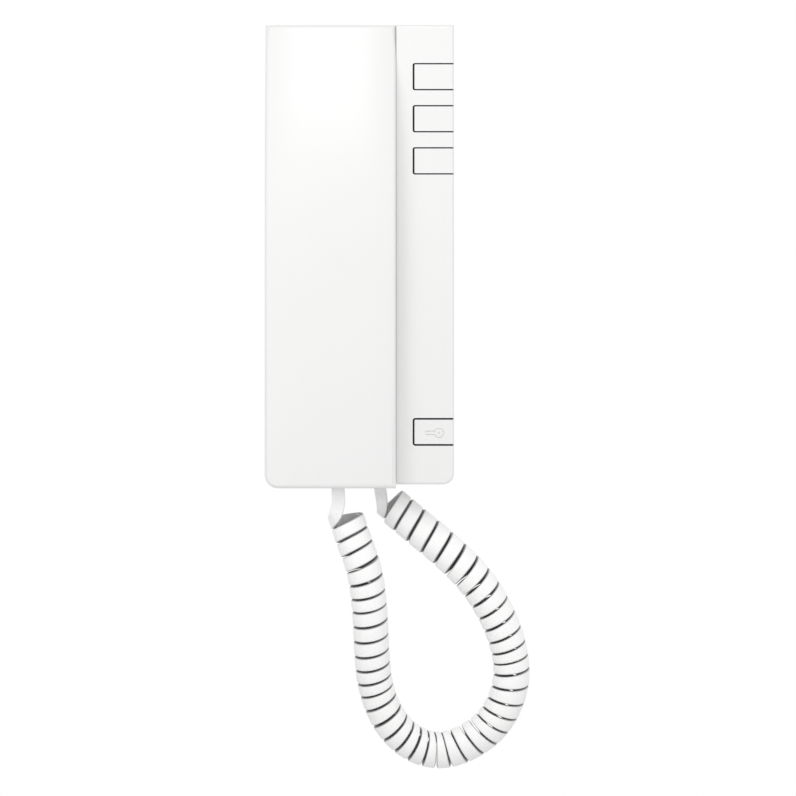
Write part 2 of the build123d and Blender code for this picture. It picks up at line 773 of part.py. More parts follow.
# Cover screw, driven up from below
with BuildPart() as cover_screw:
    with BuildSketch(Plane.XY.offset(-half_height + wall - screw_head_height)):
        with Locations((cover_screw_x, -cover_screw_depth)):
            Circle(screw_head_radius)
    extrude(amount=screw_head_height)
    with BuildSketch(Plane.XY.offset(-half_height + wall)):
        with Locations((cover_screw_x, -cover_screw_depth)):
            Circle(screw_radius)
    extrude(amount=screw_length)
    with BuildSketch(Plane.XY.offset(-half_height + wall - screw_head_height)):
        with Locations((cover_screw_x, -cover_screw_depth)):
            Rectangle(screw_head_radius, screw_slot)
            Rectangle(screw_slot, screw_head_radius)
    extrude(amount=screw_head_height / 2, mode=Mode.SUBTRACT)
cover_screw.part.label = "cover_screw"
export_step(cover_screw.part, "parts/cover_screw.step")

# Main board on the plate's standoffs, notched over the cable hole
main_board_back = plate_thickness + board_standoff
main_board_face = main_board_back + board_thickness
with BuildPart() as main_board:
    with BuildSketch(Plane.XZ.offset(main_board_back)):
        with Locations((main_board_x, main_board_z)):
            Rectangle(main_board_width, main_board_tall)
        with Locations((0, main_board_z + main_board_tall / 2)):
            Rectangle(cable_window_width, 2 * cable_window_tall, mode=Mode.SUBTRACT)
        with Locations(*standoff_places):
            Circle(board_screw_radius + plug_gap, mode=Mode.SUBTRACT)
    extrude(amount=board_thickness)
main_board.part.label = "main_board"
export_step(main_board.part, "parts/main_board.step")

with BuildPart() as board_screws:
    add(round_bars(standoff_places, Plane.XZ.offset(main_board_face), board_screw_head, board_screw_head_height))
    add(round_bars(standoff_places, Plane.XZ.offset(plate_thickness), board_screw_radius, main_board_face - plate_thickness))
board_screws.part.label = "board_screws"
export_step(board_screws.part, "parts/board_screws.step")

# Terminal block for the building's wires
terminal_places = [
    (main_board_x + (index - (terminal_count - 1) / 2) * terminal_step, terminal_z)
    for index in range(terminal_count)
]
with BuildPart() as terminal_block:
    with BuildSketch(Plane.XZ.offset(main_board_face)):
        with Locations((main_board_x, terminal_z)):
            Rectangle(terminal_width, terminal_tall)
    extrude(amount=terminal_height)
    with BuildSketch(Plane.XZ.offset(main_board_face + terminal_height / 3)):
        with Locations(*terminal_places):
            Circle(terminal_hole_radius)
    extrude(amount=terminal_height, mode=Mode.SUBTRACT)
terminal_block.part.label = "terminal_block"
export_step(terminal_block.part, "parts/terminal_block.step")

# Ringer on the main board
with BuildPart() as ringer:
    with BuildSketch(Plane.XZ.offset(main_board_face)):
        with Locations((ringer_x, ringer_z)):
            Circle(ringer_radius)
    extrude(amount=ringer_height)
    fillet(faces().sort_by(Axis.Y)[0].edges(), deck_edge_radius)
    with BuildSketch(Plane.XZ.offset(main_board_face + ringer_height / 2)):
        with Locations((ringer_x, ringer_z)):
            Circle(ringer_hole_radius)
    extrude(amount=ringer_height, mode=Mode.SUBTRACT)
ringer.part.label = "ringer"
export_step(ringer.part, "parts/ringer.step")

# Hook switch under the plunger
with BuildPart() as hook_switch:
    with BuildSketch(Plane.XZ.offset(main_board_face)):
        with Locations((hook_x, hook_z)):
            Rectangle(hook_switch_width, hook_switch_tall)
    extrude(amount=hook_switch_height)
hook_switch.part.label = "hook_switch"
export_step(hook_switch.part, "parts/hook_switch.step")

# Hook plunger, held down by the handset at rest
plunger_back = main_board_face + hook_switch_height + fit_gap
with BuildPart() as hook_plunger:
    with BuildSketch(Plane.XZ.offset(plunger_back)):
        with Locations((hook_x, hook_z)):
            Rectangle(plunger_width + 2 * plunger_flange, plunger_tall + 2 * plunger_flange)
    extrude(amount=plunger_flange_thick)
    with BuildSketch(Plane.XZ.offset(plunger_back)):
        with Locations((hook_x, hook_z)):
            Rectangle(plunger_width, plunger_tall)
    extrude(amount=deck_depth - plunger_back)
    fillet(faces().sort_by(Axis.Y)[0].edges(), deck_edge_radius)
hook_plunger.part.label = "hook_plunger"
export_step(hook_plunger.part, "parts/hook_plunger.step")

# Button board behind the panel
with BuildPart() as button_board:
    with BuildSketch(Plane.XZ.offset(button_board_depth)):
        with Locations((panel_middle_x, 0)):
            Rectangle(button_board_width, button_board_tall)
        with Locations(*button_post_places):
            Circle(board_screw_radius + plug_gap, mode=Mode.SUBTRACT)
    extrude(amount=board_thickness)
button_board.part.label = "button_board"
export_step(button_board.part, "parts/button_board.step")

button_board_face = button_board_depth + board_thickness
with BuildPart() as button_board_screws:
    add(
        round_bars(button_post_places, Plane.XZ.offset(button_board_depth - board_screw_head_height),
                   board_screw_head, board_screw_head_height)
    )
    add(
        round_bars(button_post_places, Plane.XZ.offset(button_board_depth), board_screw_radius,
                   screw_length - fit_gap)
    )
button_board_screws.part.label = "button_board_screws"
export_step(button_board_screws.part, "parts/button_board_screws.step")

# Connector that joins the two boards
with BuildPart() as board_connector:
    with BuildSketch(Plane.XZ.offset(main_board_face)):
        with Locations((connector_x, connector_z)):
            Rectangle(connector_width, connector_tall)
    extrude(amount=button_board_depth - main_board_face)
board_connector.part.label = "board_connector"
export_step(board_connector.part, "parts/board_connector.step")

# Push switches, one behind each button
switch_places = [(button_stem_x, button_z) for button_z, gap in button_specs]
tact_stem_height = tact_height / 4
with BuildPart() as push_switches:
    with BuildSketch(Plane.XZ.offset(button_board_face)):
        with Locations(*switch_places):
            Rectangle(tact_size, tact_size)
    extrude(amount=tact_height)
    with BuildSketch(Plane.XZ.offset(button_board_face + tact_height)):
        with Locations(*switch_places):
            Circle(tact_stem_radius)
    extrude(amount=tact_stem_height)
push_switches.part.label = "push_switches"
export_step(push_switches.part, "parts/push_switches.step")

# Base cord socket and plug
with BuildPart() as base_cord_socket:
    add(cord_socket_piece(base_lead_x, base_lead_depth, -half_height + wall))
base_cord_socket.part.label = "base_cord_socket"
export_step(base_cord_socket.part, "parts/base_cord_socket.step")

with BuildPart() as base_cord_plug:
    add(cord_plug_piece(base_lead_x, base_lead_depth, -half_height))
base_cord_plug.part.label = "base_cord_plug"
export_step(base_cord_plug.part, "parts/base_cord_plug.step")

# Buttons that wrap round the panel's right edge
panel_cap_outer = panel_form(0, button_wrap, panel_edge_radius)
panel_cap_inner = panel_form(button_wall, button_wrap - button_wall, 0)
switch_top_depth = button_board_face + tact_height + tact_stem_height


def button_cap(button_z, gap):
    """One button: a cap cut from the panel's own form, with a hook behind the panel and a stem to its switch."""
    left = button_left_x + button_side_gap / 2
    tall = button_height - gap
    face = front_depth(panel_depth, panel_bend_z, button_z + tall / 2)
    hook_depth = face - wall - fit_gap
    with BuildPart() as cap:
        add(panel_cap_outer)
        with BuildSketch(Plane.XZ.offset(button_wrap)):
            with Locations(((left + half_width + overrun) / 2, button_z)):
                RectangleRounded(half_width + overrun - left, tall, button_corner)
        extrude(amount=panel_depth, mode=Mode.INTERSECT)
        add(panel_cap_inner, mode=Mode.SUBTRACT)
        with BuildSketch(Plane.XZ.offset(hook_depth - button_lip)):
            with Locations((left + button_wall / 2, button_z)):
                Rectangle(button_wall, tall)
        extrude(amount=face - button_wall / 2 - hook_depth + button_lip)
        with BuildSketch(Plane.XZ.offset(hook_depth - button_lip)):
            with Locations((left - button_side_gap / 2, button_z)):
                Rectangle(button_side_gap + 2 * button_lip, tall)
        extrude(amount=button_lip)
        with BuildSketch(Plane.XZ.offset(switch_top_depth + stem_gap)):
            with Locations((button_stem_x, button_z)):
                Rectangle(button_stem, button_stem)
        extrude(amount=face - button_wall / 2 - switch_top_depth - stem_gap)
    return cap.part


for button_number, call_z in enumerate(call_button_zs, start=1):
    with BuildPart() as call_button:
        add(button_cap(call_z, call_gap))
    call_button.part.label = f"call_button_{button_number}"
    export_step(call_button.part, f"parts/call_button_{button_number}.step")


def key_outline(grow):
    """The key on the door button, seen from the front, grown by grow on every side."""
    with BuildSketch() as key:
        with Locations((key_x, key_z)):
            Circle(key_bow_radius + grow)
        with Locations((key_x - key_shank_length / 2 - grow / 2, key_z)):
            Rectangle(key_shank_length + grow, key_shank_width + 2 * grow)
    return key.sketch


with BuildPart() as door_button:
    add(button_cap(door_button_z, door_gap))
    with BuildSketch(Plane.XZ.offset(panel_depth - key_groove_depth)):
        add(key_outline(key_groove))
        add(key_outline(0), mode=Mode.SUBTRACT)
    extrude(amount=2 * key_groove_depth, mode=Mode.SUBTRACT)
    with BuildSketch(Plane.XZ.offset(panel_depth - key_raise)):
        add(key_outline(0))
    extrude(amount=2 * key_raise)
    with BuildSketch(Plane.XZ.offset(panel_depth - key_groove_depth)):
        with Locations((key_x, key_z)):
            Circle(key_bow_hole_radius)
    extrude(amount=2 * key_groove_depth, mode=Mode.SUBTRACT)
door_button.part.label = "door_button"
export_step(door_button.part, "parts/door_button.step")


# Dark dust seals in the slits round the buttons, just below the surface
seal_back = button_wrap - button_back_gap
seal_shell_outer = panel_form(seal_recess, seal_back, panel_edge_radius - seal_recess)
seal_shell_inner = panel_form(seal_recess + seal_thick, seal_back, 0)
with BuildPart() as button_seals:
    for button_z, gap in button_specs:
        left = button_left_x - button_side_gap / 2
        width = half_width + overrun - left
        inner_left = button_left_x + button_side_gap / 2 - seal_gap
        inner_width = half_width + 2 * overrun - inner_left
        tall = button_height + gap
        inner_tall = button_height - gap + 2 * seal_gap
        with BuildSketch(Plane.XZ.offset(seal_back)):
            with Locations((left + width / 2, button_z)):
                RectangleRounded(width, tall, button_corner + gap)
            with Locations((inner_left + inner_width / 2, button_z)):
                RectangleRounded(inner_width, inner_tall, button_corner + seal_gap, mode=Mode.SUBTRACT)
        extrude(amount=panel_depth)
    add(seal_shell_outer, mode=Mode.INTERSECT)
    add(seal_shell_inner, mode=Mode.SUBTRACT)
button_seals.part.label = "button_seals"
export_step(button_seals.part, "parts/button_seals.step")


# Curly cord: a smooth axis through the route, a helix round it, and biarcs from one half turn to the next
def axis_samples(steps_per_span):
    """Points along the smooth axis: each corner of the route is one span of a quadratic curve."""
    corners = [Vector(*point) for point in coil_axis_route]
    last = len(corners) - 2
    points = []
    for index in range(1, last + 1):
        start = corners[0] if index == 1 else (corners[index - 1] + corners[index]) * 0.5
        end = corners[-1] if index == last else (corners[index] + corners[index + 1]) * 0.5
        first_step = 0 if index == 1 else 1
        for step in range(first_step, steps_per_span + 1):
            share = step / steps_per_span
            points.append(
                start * (1 - share) ** 2 + corners[index] * (2 * share * (1 - share)) + end * share**2
            )
    return points


samples_per_span = 200
samples = axis_samples(samples_per_span)
run = [0.0]
for here, there in zip(samples, samples[1:]):
    run.append(run[-1] + (there - here).length)
coil_radius = (coil_outer_diameter - cord_diameter) / 2
coil_length = run[-1] - coil_start - coil_finish
coil_pitch = coil_length / coil_turns


def axis_at(distance):
    """The axis point and direction at a distance along the route."""
    index = min(max(bisect.bisect_left(run, distance), 1), len(run) - 1)
    share = (distance - run[index - 1]) / (run[index] - run[index - 1])
    step = samples[index] - samples[index - 1]
    return samples[index - 1] + step * share, step.normalized()


def lean_at(turn):
    """How far a turn's front hangs down along the axis: most on the two arms, none at the loop's bottom."""
    lean_share = math.sin(2 * math.pi * turn / coil_turns)
    return coil_radius * math.tan(math.radians(coil_lean_degrees)) * lean_share


def helix_at(turn):
    """A point of the coil; whole turns are on the outside of the loop, where the handset's lead comes in."""
    middle, along = axis_at(coil_start + coil_length * turn / coil_turns)
    front = Vector(0, -1, 0)
    front = (front - along * front.dot(along)).normalized()
    outside = along.cross(front)
    angle = 2 * math.pi * turn
    lean = along * (-lean_at(turn) * math.sin(angle))
    return middle + outside * (coil_radius * math.cos(angle)) - front * (coil_radius * math.sin(angle)) + lean


def helix_direction(turn):
    """The coil's direction at a turn."""
    step = 1 / 2000
    return (helix_at(min(turn + step, coil_turns)) - helix_at(max(turn - step, 0))).normalized()


def biarc(start, start_direction, end, end_direction):
    """Two tangent arcs from one point and direction to another."""
    chord = end - start
    both = start_direction + end_direction
    a = both.dot(both) - 4
    b = chord.dot(both)
    reach = (b - math.sqrt(b * b - a * chord.dot(chord))) / a
    middle = (start + start_direction * reach + end - end_direction * reach) * 0.5
    first = Edge.make_tangent_arc(start, start_direction, middle)
    return [first, Edge.make_tangent_arc(middle, first.tangent_at(1), end)]


def cord_piece(name, path_edges):
    """A round cord swept along its path, with its volume and its tightest bend printed."""
    path = Wire(path_edges)
    with BuildPart() as cord:
        with BuildSketch(Plane(origin=path_edges[0].position_at(0), z_dir=path_edges[0].tangent_at(0))):
            Circle(cord_diameter / 2)
        sweep(path=path)
    radii = [edge.radius for edge in path_edges if edge.geom_type == GeomType.CIRCLE]
    expected = math.pi * cord_diameter**2 / 4 * path.length
    print(name, "length", round(path.length, 1), "mm, tightest radius", round(min(radii), 2),
          "mm, volume over section times length", round(cord.part.volume / expected, 4))
    cord.part.label = name
    export_step(cord.part, f"parts/{name}.step")
    return path


half_turns = round(2 * coil_turns)
coil_edges = []
for half in range(half_turns):
    coil_edges += biarc(
        helix_at(half / 2), helix_direction(half / 2), helix_at((half + 1) / 2), helix_direction((half + 1) / 2)
    )
coil_path = cord_piece("curly_cord", coil_edges)

down = Vector(0, 0, -1)
up = Vector(0, 0, 1)
handset_exit = Vector(handset_lead_x, -handset_lead_depth, handset_bottom)
handset_bend = handset_exit + down * lead_straight
cord_piece(
    "handset_lead",
    [Edge.make_line(handset_exit, handset_bend)]
    + biarc(handset_bend, down, coil_edges[0].position_at(0), coil_edges[0].tangent_at(0)),
)
base_exit = Vector(base_lead_x, -base_lead_depth, -half_height)
base_bend = base_exit + down * lead_straight
cord_piece(
    "base_lead",
    biarc(coil_edges[-1].position_at(1), coil_edges[-1].tangent_at(1), base_bend, up)
    + [Edge.make_line(base_bend, base_exit)],
)

# Least distance from the coil's centre line to itself, a third of a turn or more further on
checks_per_turn = 72
check_points = [helix_at(index / checks_per_turn) for index in range(int(coil_turns * checks_per_turn) + 1)]
nearest = min(
    (check_points[other] - point).length
    for index, point in enumerate(check_points)
    for other in range(index + checks_per_turn // 3, min(index + 2 * checks_per_turn, len(check_points)))
)
print("coil turns", coil_turns, "pitch", round(coil_pitch, 2), "mm, least gap between turns",
      round(nearest - cord_diameter, 2), "mm")
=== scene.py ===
"""Studio scene of an audio door phone: a slab handset on its base, joined by a flat curly cord.

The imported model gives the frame. This file dresses it: it gives each node its finish, lays the flat curly
cord over the cord's plain solids, and sets the stage, the lamps and the camera.
"""

from __future__ import annotations

import logging
import math
from dataclasses import dataclass, field
from enum import Enum

import bpy
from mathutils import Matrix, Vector

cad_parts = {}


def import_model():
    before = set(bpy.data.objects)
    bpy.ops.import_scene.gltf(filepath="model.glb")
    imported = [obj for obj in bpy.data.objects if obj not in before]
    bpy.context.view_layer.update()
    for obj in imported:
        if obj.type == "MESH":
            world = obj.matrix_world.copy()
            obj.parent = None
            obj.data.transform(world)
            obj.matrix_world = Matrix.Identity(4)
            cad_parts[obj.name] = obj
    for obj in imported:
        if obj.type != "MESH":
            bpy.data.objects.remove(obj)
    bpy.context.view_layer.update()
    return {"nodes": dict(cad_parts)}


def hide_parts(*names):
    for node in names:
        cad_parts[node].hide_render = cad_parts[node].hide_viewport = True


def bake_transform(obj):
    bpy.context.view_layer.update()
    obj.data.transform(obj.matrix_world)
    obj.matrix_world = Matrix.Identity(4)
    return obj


log = logging.getLogger("door_phone")

Colour = tuple[float, float, float]
Point = tuple[float, float, float]
Marks = tuple[tuple[float, float], ...]
Strand = tuple[list[Vector], list[Vector], list[float]]

MIX_FIRST = 6
MIX_SECOND = 7
MIX_RESULT = 2


class Body(Enum):
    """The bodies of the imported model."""

    BASE = "base"
    HANDSET = "handset"


def smoothstep(low: float, high: float, value: float) -> float:
    """Ease from 0 to 1 between two limits.

    Args:
        low: The value at which the step leaves 0.
        high: The value at which the step reaches 1.
        value: Where to read it.

    Returns:
        The eased share, from 0 to 1.
    """
    share = min(max((value - low) / (high - low), 0.0), 1.0)
    return share * share * (3.0 - 2.0 * share)


def read_marks(marks: Marks, place: float) -> float:
    """Read a value between marks, with straight runs from one mark to the next.

    Args:
        marks: Pairs of a place and its value, in rising order of place.
        place: Where to read.

    Returns:
        The value at the place.
    """
    if place <= marks[0][0]:
        return marks[0][1]
    for (low, at_low), (high, at_high) in zip(marks, marks[1:]):
        if place <= high:
            return at_low + (at_high - at_low) * (place - low) / (high - low)
    return marks[-1][1]


def feed(tree: bpy.types.NodeTree, target: bpy.types.NodeSocket, value: object) -> None:
    """Give an input its value, or its link where the value is another node's output.

    Args:
        tree: The node tree.
        target: The input.
        value: A plain value or an output socket.
    """
    if isinstance(value, bpy.types.NodeSocket):
        tree.links.new(value, target)
    else:
        target.default_value = value


def add_math(tree: bpy.types.NodeTree, operation: str, *values: object) -> bpy.types.NodeSocket:
    """Place a Math node.

    Args:
        tree: The node tree.
        operation: What it does with its inputs.
        *values: The inputs in order, each a number or an output socket.

    Returns:
        The socket of the result.
    """
    node = tree.nodes.new("ShaderNodeMath")
    node.operation = operation
    for target, value in zip(node.inputs, values):
        feed(tree, target, value)
    return node.outputs[0]


def add_noise(tree: bpy.types.NodeTree, scale: object, detail: float) -> bpy.types.NodeSocket:
    """Place a noise over the piece's own coordinates.

    Args:
        tree: The node tree.
        scale: The noise's scale, a number or an output socket.
        detail: The noise's detail.

    Returns:
        The socket of its value, from 0 to 1.
    """
    place = tree.nodes.new("ShaderNodeTexCoord")
    noise = tree.nodes.new("ShaderNodeTexNoise")
    noise.inputs["Detail"].default_value = detail
    feed(tree, noise.inputs["Scale"], scale)
    tree.links.new(place.outputs["Object"], noise.inputs["Vector"])
    return noise.outputs["Fac"]


def add_easing(
    tree: bpy.types.NodeTree, value: bpy.types.NodeSocket, low: float, high: float
) -> bpy.types.NodeSocket:
    """Ease a value from 0 to 1 between two limits.

    Args:
        tree: The node tree.
        value: The socket of the value.
        low: The value at which the step leaves 0.
        high: The value at which the step reaches 1.

    Returns:
        The socket of the eased share.
    """
    node = tree.nodes.new("ShaderNodeMapRange")
    node.interpolation_type = "SMOOTHSTEP"
    node.inputs["From Min"].default_value = low
    node.inputs["From Max"].default_value = high
    tree.links.new(value, node.inputs["Value"])
    return node.outputs[0]


def add_colour_mix(
    tree: bpy.types.NodeTree, share: object, first: object, second: object, way: str = "MIX"
) -> bpy.types.NodeSocket:
    """Mix two colours.

    Args:
        tree: The node tree.
        share: The second colour's share, a number or an output socket.
        first: The first colour or its socket.
        second: The second colour or its socket.
        way: How they are mixed.

    Returns:
        The socket of the mixed colour.
    """
    node = tree.nodes.new("ShaderNodeMix")
    node.data_type = "RGBA"
    node.blend_type = way
    feed(tree, node.inputs["Factor"], share)
    feed(tree, node.inputs[MIX_FIRST], first)
    feed(tree, node.inputs[MIX_SECOND], second)
    return node.outputs[MIX_RESULT]


def add_group(
    tree: bpy.types.NodeTree, group: bpy.types.NodeTree, values: dict[str, object]
) -> bpy.types.Node:
    """Place a shader group in a material.

    Args:
        tree: The material's node tree.
        group: The group.
        values: Input name to the value or the socket that this material gives it.

    Returns:
        The group's node.
    """
    node = tree.nodes.new("ShaderNodeGroup")
    node.node_tree = group
    for label, value in values.items():
        feed(tree, node.inputs[label], value)
    return node


class NodeGroups:
    """The shader groups that more than one finish uses, each built once.

    Attributes:
        CLOUD_SCALE: The noise scale of the colour's mottling.
        CLOUD_DETAIL: That noise's detail.
        STREAK_SCALE: The noise scale of the uneven gloss.
        STREAK_DETAIL: That noise's detail.
        GRAIN_DETAIL: The detail of the grain's noise.
        NOISE_MIDDLE: The middle of a noise's values.
        DUST_SCALE: The noise scale of the dust's patches.
        DUST_DETAIL: That noise's detail.
        DUST_SLOPE: The upward part of the normal at which the dust begins and is full.
    """

    CLOUD_SCALE: float = 28.0
    CLOUD_DETAIL: float = 3.0
    STREAK_SCALE: float = 90.0
    STREAK_DETAIL: float = 4.0
    GRAIN_DETAIL: float = 2.0
    NOISE_MIDDLE: float = 0.5
    DUST_SCALE: float = 160.0
    DUST_DETAIL: float = 5.0
    DUST_SLOPE: tuple[float, float] = (0.6, 1.0)

    @staticmethod
    def _new(
        name: str, inputs: dict[str, tuple[str, object]], outputs: dict[str, str]
    ) -> tuple[bpy.types.NodeTree, bpy.types.Node, bpy.types.Node]:
        """Start a group.

        Args:
            name: The group's name.
            inputs: Socket name to its type and default.
            outputs: Socket name to its type.

        Returns:
            The group, its input node and its output node.
        """
        group = bpy.data.node_groups.new(name, "ShaderNodeTree")
        for label, (kind, default) in inputs.items():
            socket = group.interface.new_socket(name=label, in_out="INPUT", socket_type=kind)
            socket.default_value = default
        for label, kind in outputs.items():
            group.interface.new_socket(name=label, in_out="OUTPUT", socket_type=kind)
        return group, group.nodes.new("NodeGroupInput"), group.nodes.new("NodeGroupOutput")

    @classmethod
    def moulded(cls) -> bpy.types.NodeTree:
        """Moulded plastic: faint mottling of the colour, uneven gloss and a fine spark-eroded grain.

        Returns:
            The node group, built on the first call.
        """
        found = bpy.data.node_groups.get("Moulded surface")
        if found:
            return found
        group, source, result = cls._new(
            "Moulded surface",
            {
                "Colour": ("NodeSocketColor", (0.8, 0.8, 0.8, 1.0)),
                "Mottling": ("NodeSocketFloat", 0.03),
                "Grain size": ("NodeSocketFloat", 1500.0),
                "Gloss": ("NodeSocketFloat", 0.35),
                "Gloss change": ("NodeSocketFloat", 0.08),
            },
            {"Colour": "NodeSocketColor", "Roughness": "NodeSocketFloat", "Grain": "NodeSocketFloat"},
        )
        given = source.outputs
        cloud = add_noise(group, cls.CLOUD_SCALE, cls.CLOUD_DETAIL)
        shade = add_math(group, "MULTIPLY_ADD", cloud, given["Mottling"], 1.0)
        centred = add_math(group, "MULTIPLY_ADD", given["Mottling"], -cls.NOISE_MIDDLE, shade)
        tint = add_colour_mix(group, 1.0, given["Colour"], centred, "MULTIPLY")
        group.links.new(tint, result.inputs["Colour"])
        streak = add_noise(group, cls.STREAK_SCALE, cls.STREAK_DETAIL)
        change = add_math(group, "SUBTRACT", streak, cls.NOISE_MIDDLE)
        rough = add_math(group, "MULTIPLY_ADD", change, given["Gloss change"], given["Gloss"])
        group.links.new(rough, result.inputs["Roughness"])
        grain = add_noise(group, given["Grain size"], cls.GRAIN_DETAIL)
        group.links.new(grain, result.inputs["Grain"])
        return group

    @classmethod
    def dust(cls) -> bpy.types.NodeTree:
        """A breath of dust on what looks upwards, in soft patches.

        Returns:
            The node group, built on the first call.
        """
        found = bpy.data.node_groups.get("Settled dust")
        if found:
            return found
        group, source, result = cls._new(
            "Settled dust",
            {
                "Colour": ("NodeSocketColor", (0.8, 0.8, 0.8, 1.0)),
                "Dust colour": ("NodeSocketColor", (0.55, 0.53, 0.5, 1.0)),
                "Amount": ("NodeSocketFloat", 0.1),
            },
            {"Colour": "NodeSocketColor", "Mask": "NodeSocketFloat"},
        )
        given = source.outputs
        shape = group.nodes.new("ShaderNodeNewGeometry")
        split = group.nodes.new("ShaderNodeSeparateXYZ")
        group.links.new(shape.outputs["Normal"], split.inputs[0])
        upwards = add_easing(group, split.outputs["Z"], *cls.DUST_SLOPE)
        patch = add_noise(group, cls.DUST_SCALE, cls.DUST_DETAIL)
        settled = add_math(group, "MULTIPLY", upwards, patch)
        amount = add_math(group, "MULTIPLY", settled, given["Amount"])
        mixed = add_colour_mix(group, amount, given["Colour"], given["Dust colour"])
        group.links.new(mixed, result.inputs["Colour"])
        group.links.new(amount, result.inputs["Mask"])
        return group


@dataclass(frozen=True)
class Finish:
    """A finish, made into a material on its first use.

    Attributes:
        name: The material's name.
    """

    name: str

    def material(self) -> bpy.types.Material:
        """Build the finish, or give the one that is there.

        Returns:
            The material.
        """
        found = bpy.data.materials.get(self.name)
        if found:
            return found
        material = bpy.data.materials.new(self.name)
        material.use_nodes = True
        self.lay(material.node_tree)
        return material

    def lay(self, tree: bpy.types.NodeTree) -> None:
        """Lay the finish's own nodes. Each kind of finish has its own way.

        Args:
            tree: The material's node tree.
        """
        raise NotImplementedError

    @staticmethod
    def surface(tree: bpy.types.NodeTree, values: dict[str, object]) -> bpy.types.Node:
        """Place the moulded surface and lead its colour and its roughness into the Principled BSDF.

        Args:
            tree: The material's node tree.
            values: Input name to the value or the socket that the finish gives the surface.

        Returns:
            The surface's node.
        """
        node = add_group(tree, NodeGroups.moulded(), values)
        shader = tree.nodes["Principled BSDF"]
        tree.links.new(node.outputs["Colour"], shader.inputs["Base Color"])
        tree.links.new(node.outputs["Roughness"], shader.inputs["Roughness"])
        return node

    @staticmethod
    def relief(tree: bpy.types.NodeTree, height: bpy.types.NodeSocket, depth: float) -> None:
        """Lead a height into the Principled BSDF's normal through a Bump node.

        Args:
            tree: The material's node tree.
            height: The socket that gives the height, from 0 to 1.
            depth: The height of 1, in metres.
        """
        bump = tree.nodes.new("ShaderNodeBump")
        bump.inputs["Strength"].default_value = 1.0
        bump.inputs["Distance"].default_value = depth
        tree.links.new(height, bump.inputs["Height"])
        tree.links.new(bump.outputs["Normal"], tree.nodes["Principled BSDF"].inputs["Normal"])


@dataclass(frozen=True)
class PlasticFinish(Finish):
    """A moulded plastic with its own grain, gloss and a trace of dust.

    Attributes:
        colour: The plastic's colour.
        gloss: The middle of its roughness.
        gloss_change: How far the roughness strays from that.
        mottling: How far the colour strays, as a share.
        grain_size: The noise scale of the grain.
        grain_depth: The grain's depth, in metres.
        dust: How much dust lies on what looks upwards.
        clear: The share of light that passes through.
        refraction: The index of refraction.
    """

    colour: Colour
    gloss: float = 0.38
    gloss_change: float = 0.10
    mottling: float = 0.02
    grain_size: float = 1900.0
    grain_depth: float = 0.000012
    dust: float = 0.05
    clear: float = 0.0
    refraction: float = 1.5

    def lay(self, tree: bpy.types.NodeTree) -> None:
        """Lay the surface, the dust over its colour, and the grain.

        Args:
            tree: The material's node tree.
        """
        surface = self.surface(
            tree,
            {
                "Colour": (*self.colour, 1.0),
                "Mottling": self.mottling,
                "Grain size": self.grain_size,
                "Gloss": self.gloss,
                "Gloss change": self.gloss_change,
            },
        )
        shader = tree.nodes["Principled BSDF"]
        dust = add_group(tree, NodeGroups.dust(), {"Amount": self.dust, "Colour": surface.outputs["Colour"]})
        tree.links.new(dust.outputs["Colour"], shader.inputs["Base Color"])
        self.relief(tree, surface.outputs["Grain"], self.grain_depth)
        shader.inputs["Transmission Weight"].default_value = self.clear
        shader.inputs["IOR"].default_value = self.refraction


@dataclass(frozen=True)
class MetalFinish(Finish):
    """A metal with fine marks and duller patches.

    Attributes:
        colour: The metal's colour.
        roughness: The middle of its roughness.
        mark_size: The noise scale of the marks.
        mark_depth: The marks' depth, in metres.
        mottling: How far the colour strays, as a share.
        roughness_change: How far the roughness strays from its middle.
    """

    colour: Colour
    roughness: float = 0.32
    mark_size: float = 900.0
    mark_depth: float = 0.000008
    mottling: float = 0.12
    roughness_change: float = 0.25

    def lay(self, tree: bpy.types.NodeTree) -> None:
        """Lay the surface and the marks, and make it a metal.

        Args:
            tree: The material's node tree.
        """
        surface = self.surface(
            tree,
            {
                "Colour": (*self.colour, 1.0),
                "Mottling": self.mottling,
                "Grain size": self.mark_size,
                "Gloss": self.roughness,
                "Gloss change": self.roughness_change,
            },
        )
        tree.nodes["Principled BSDF"].inputs["Metallic"].default_value = 1.0
        self.relief(tree, surface.outputs["Grain"], self.mark_depth)


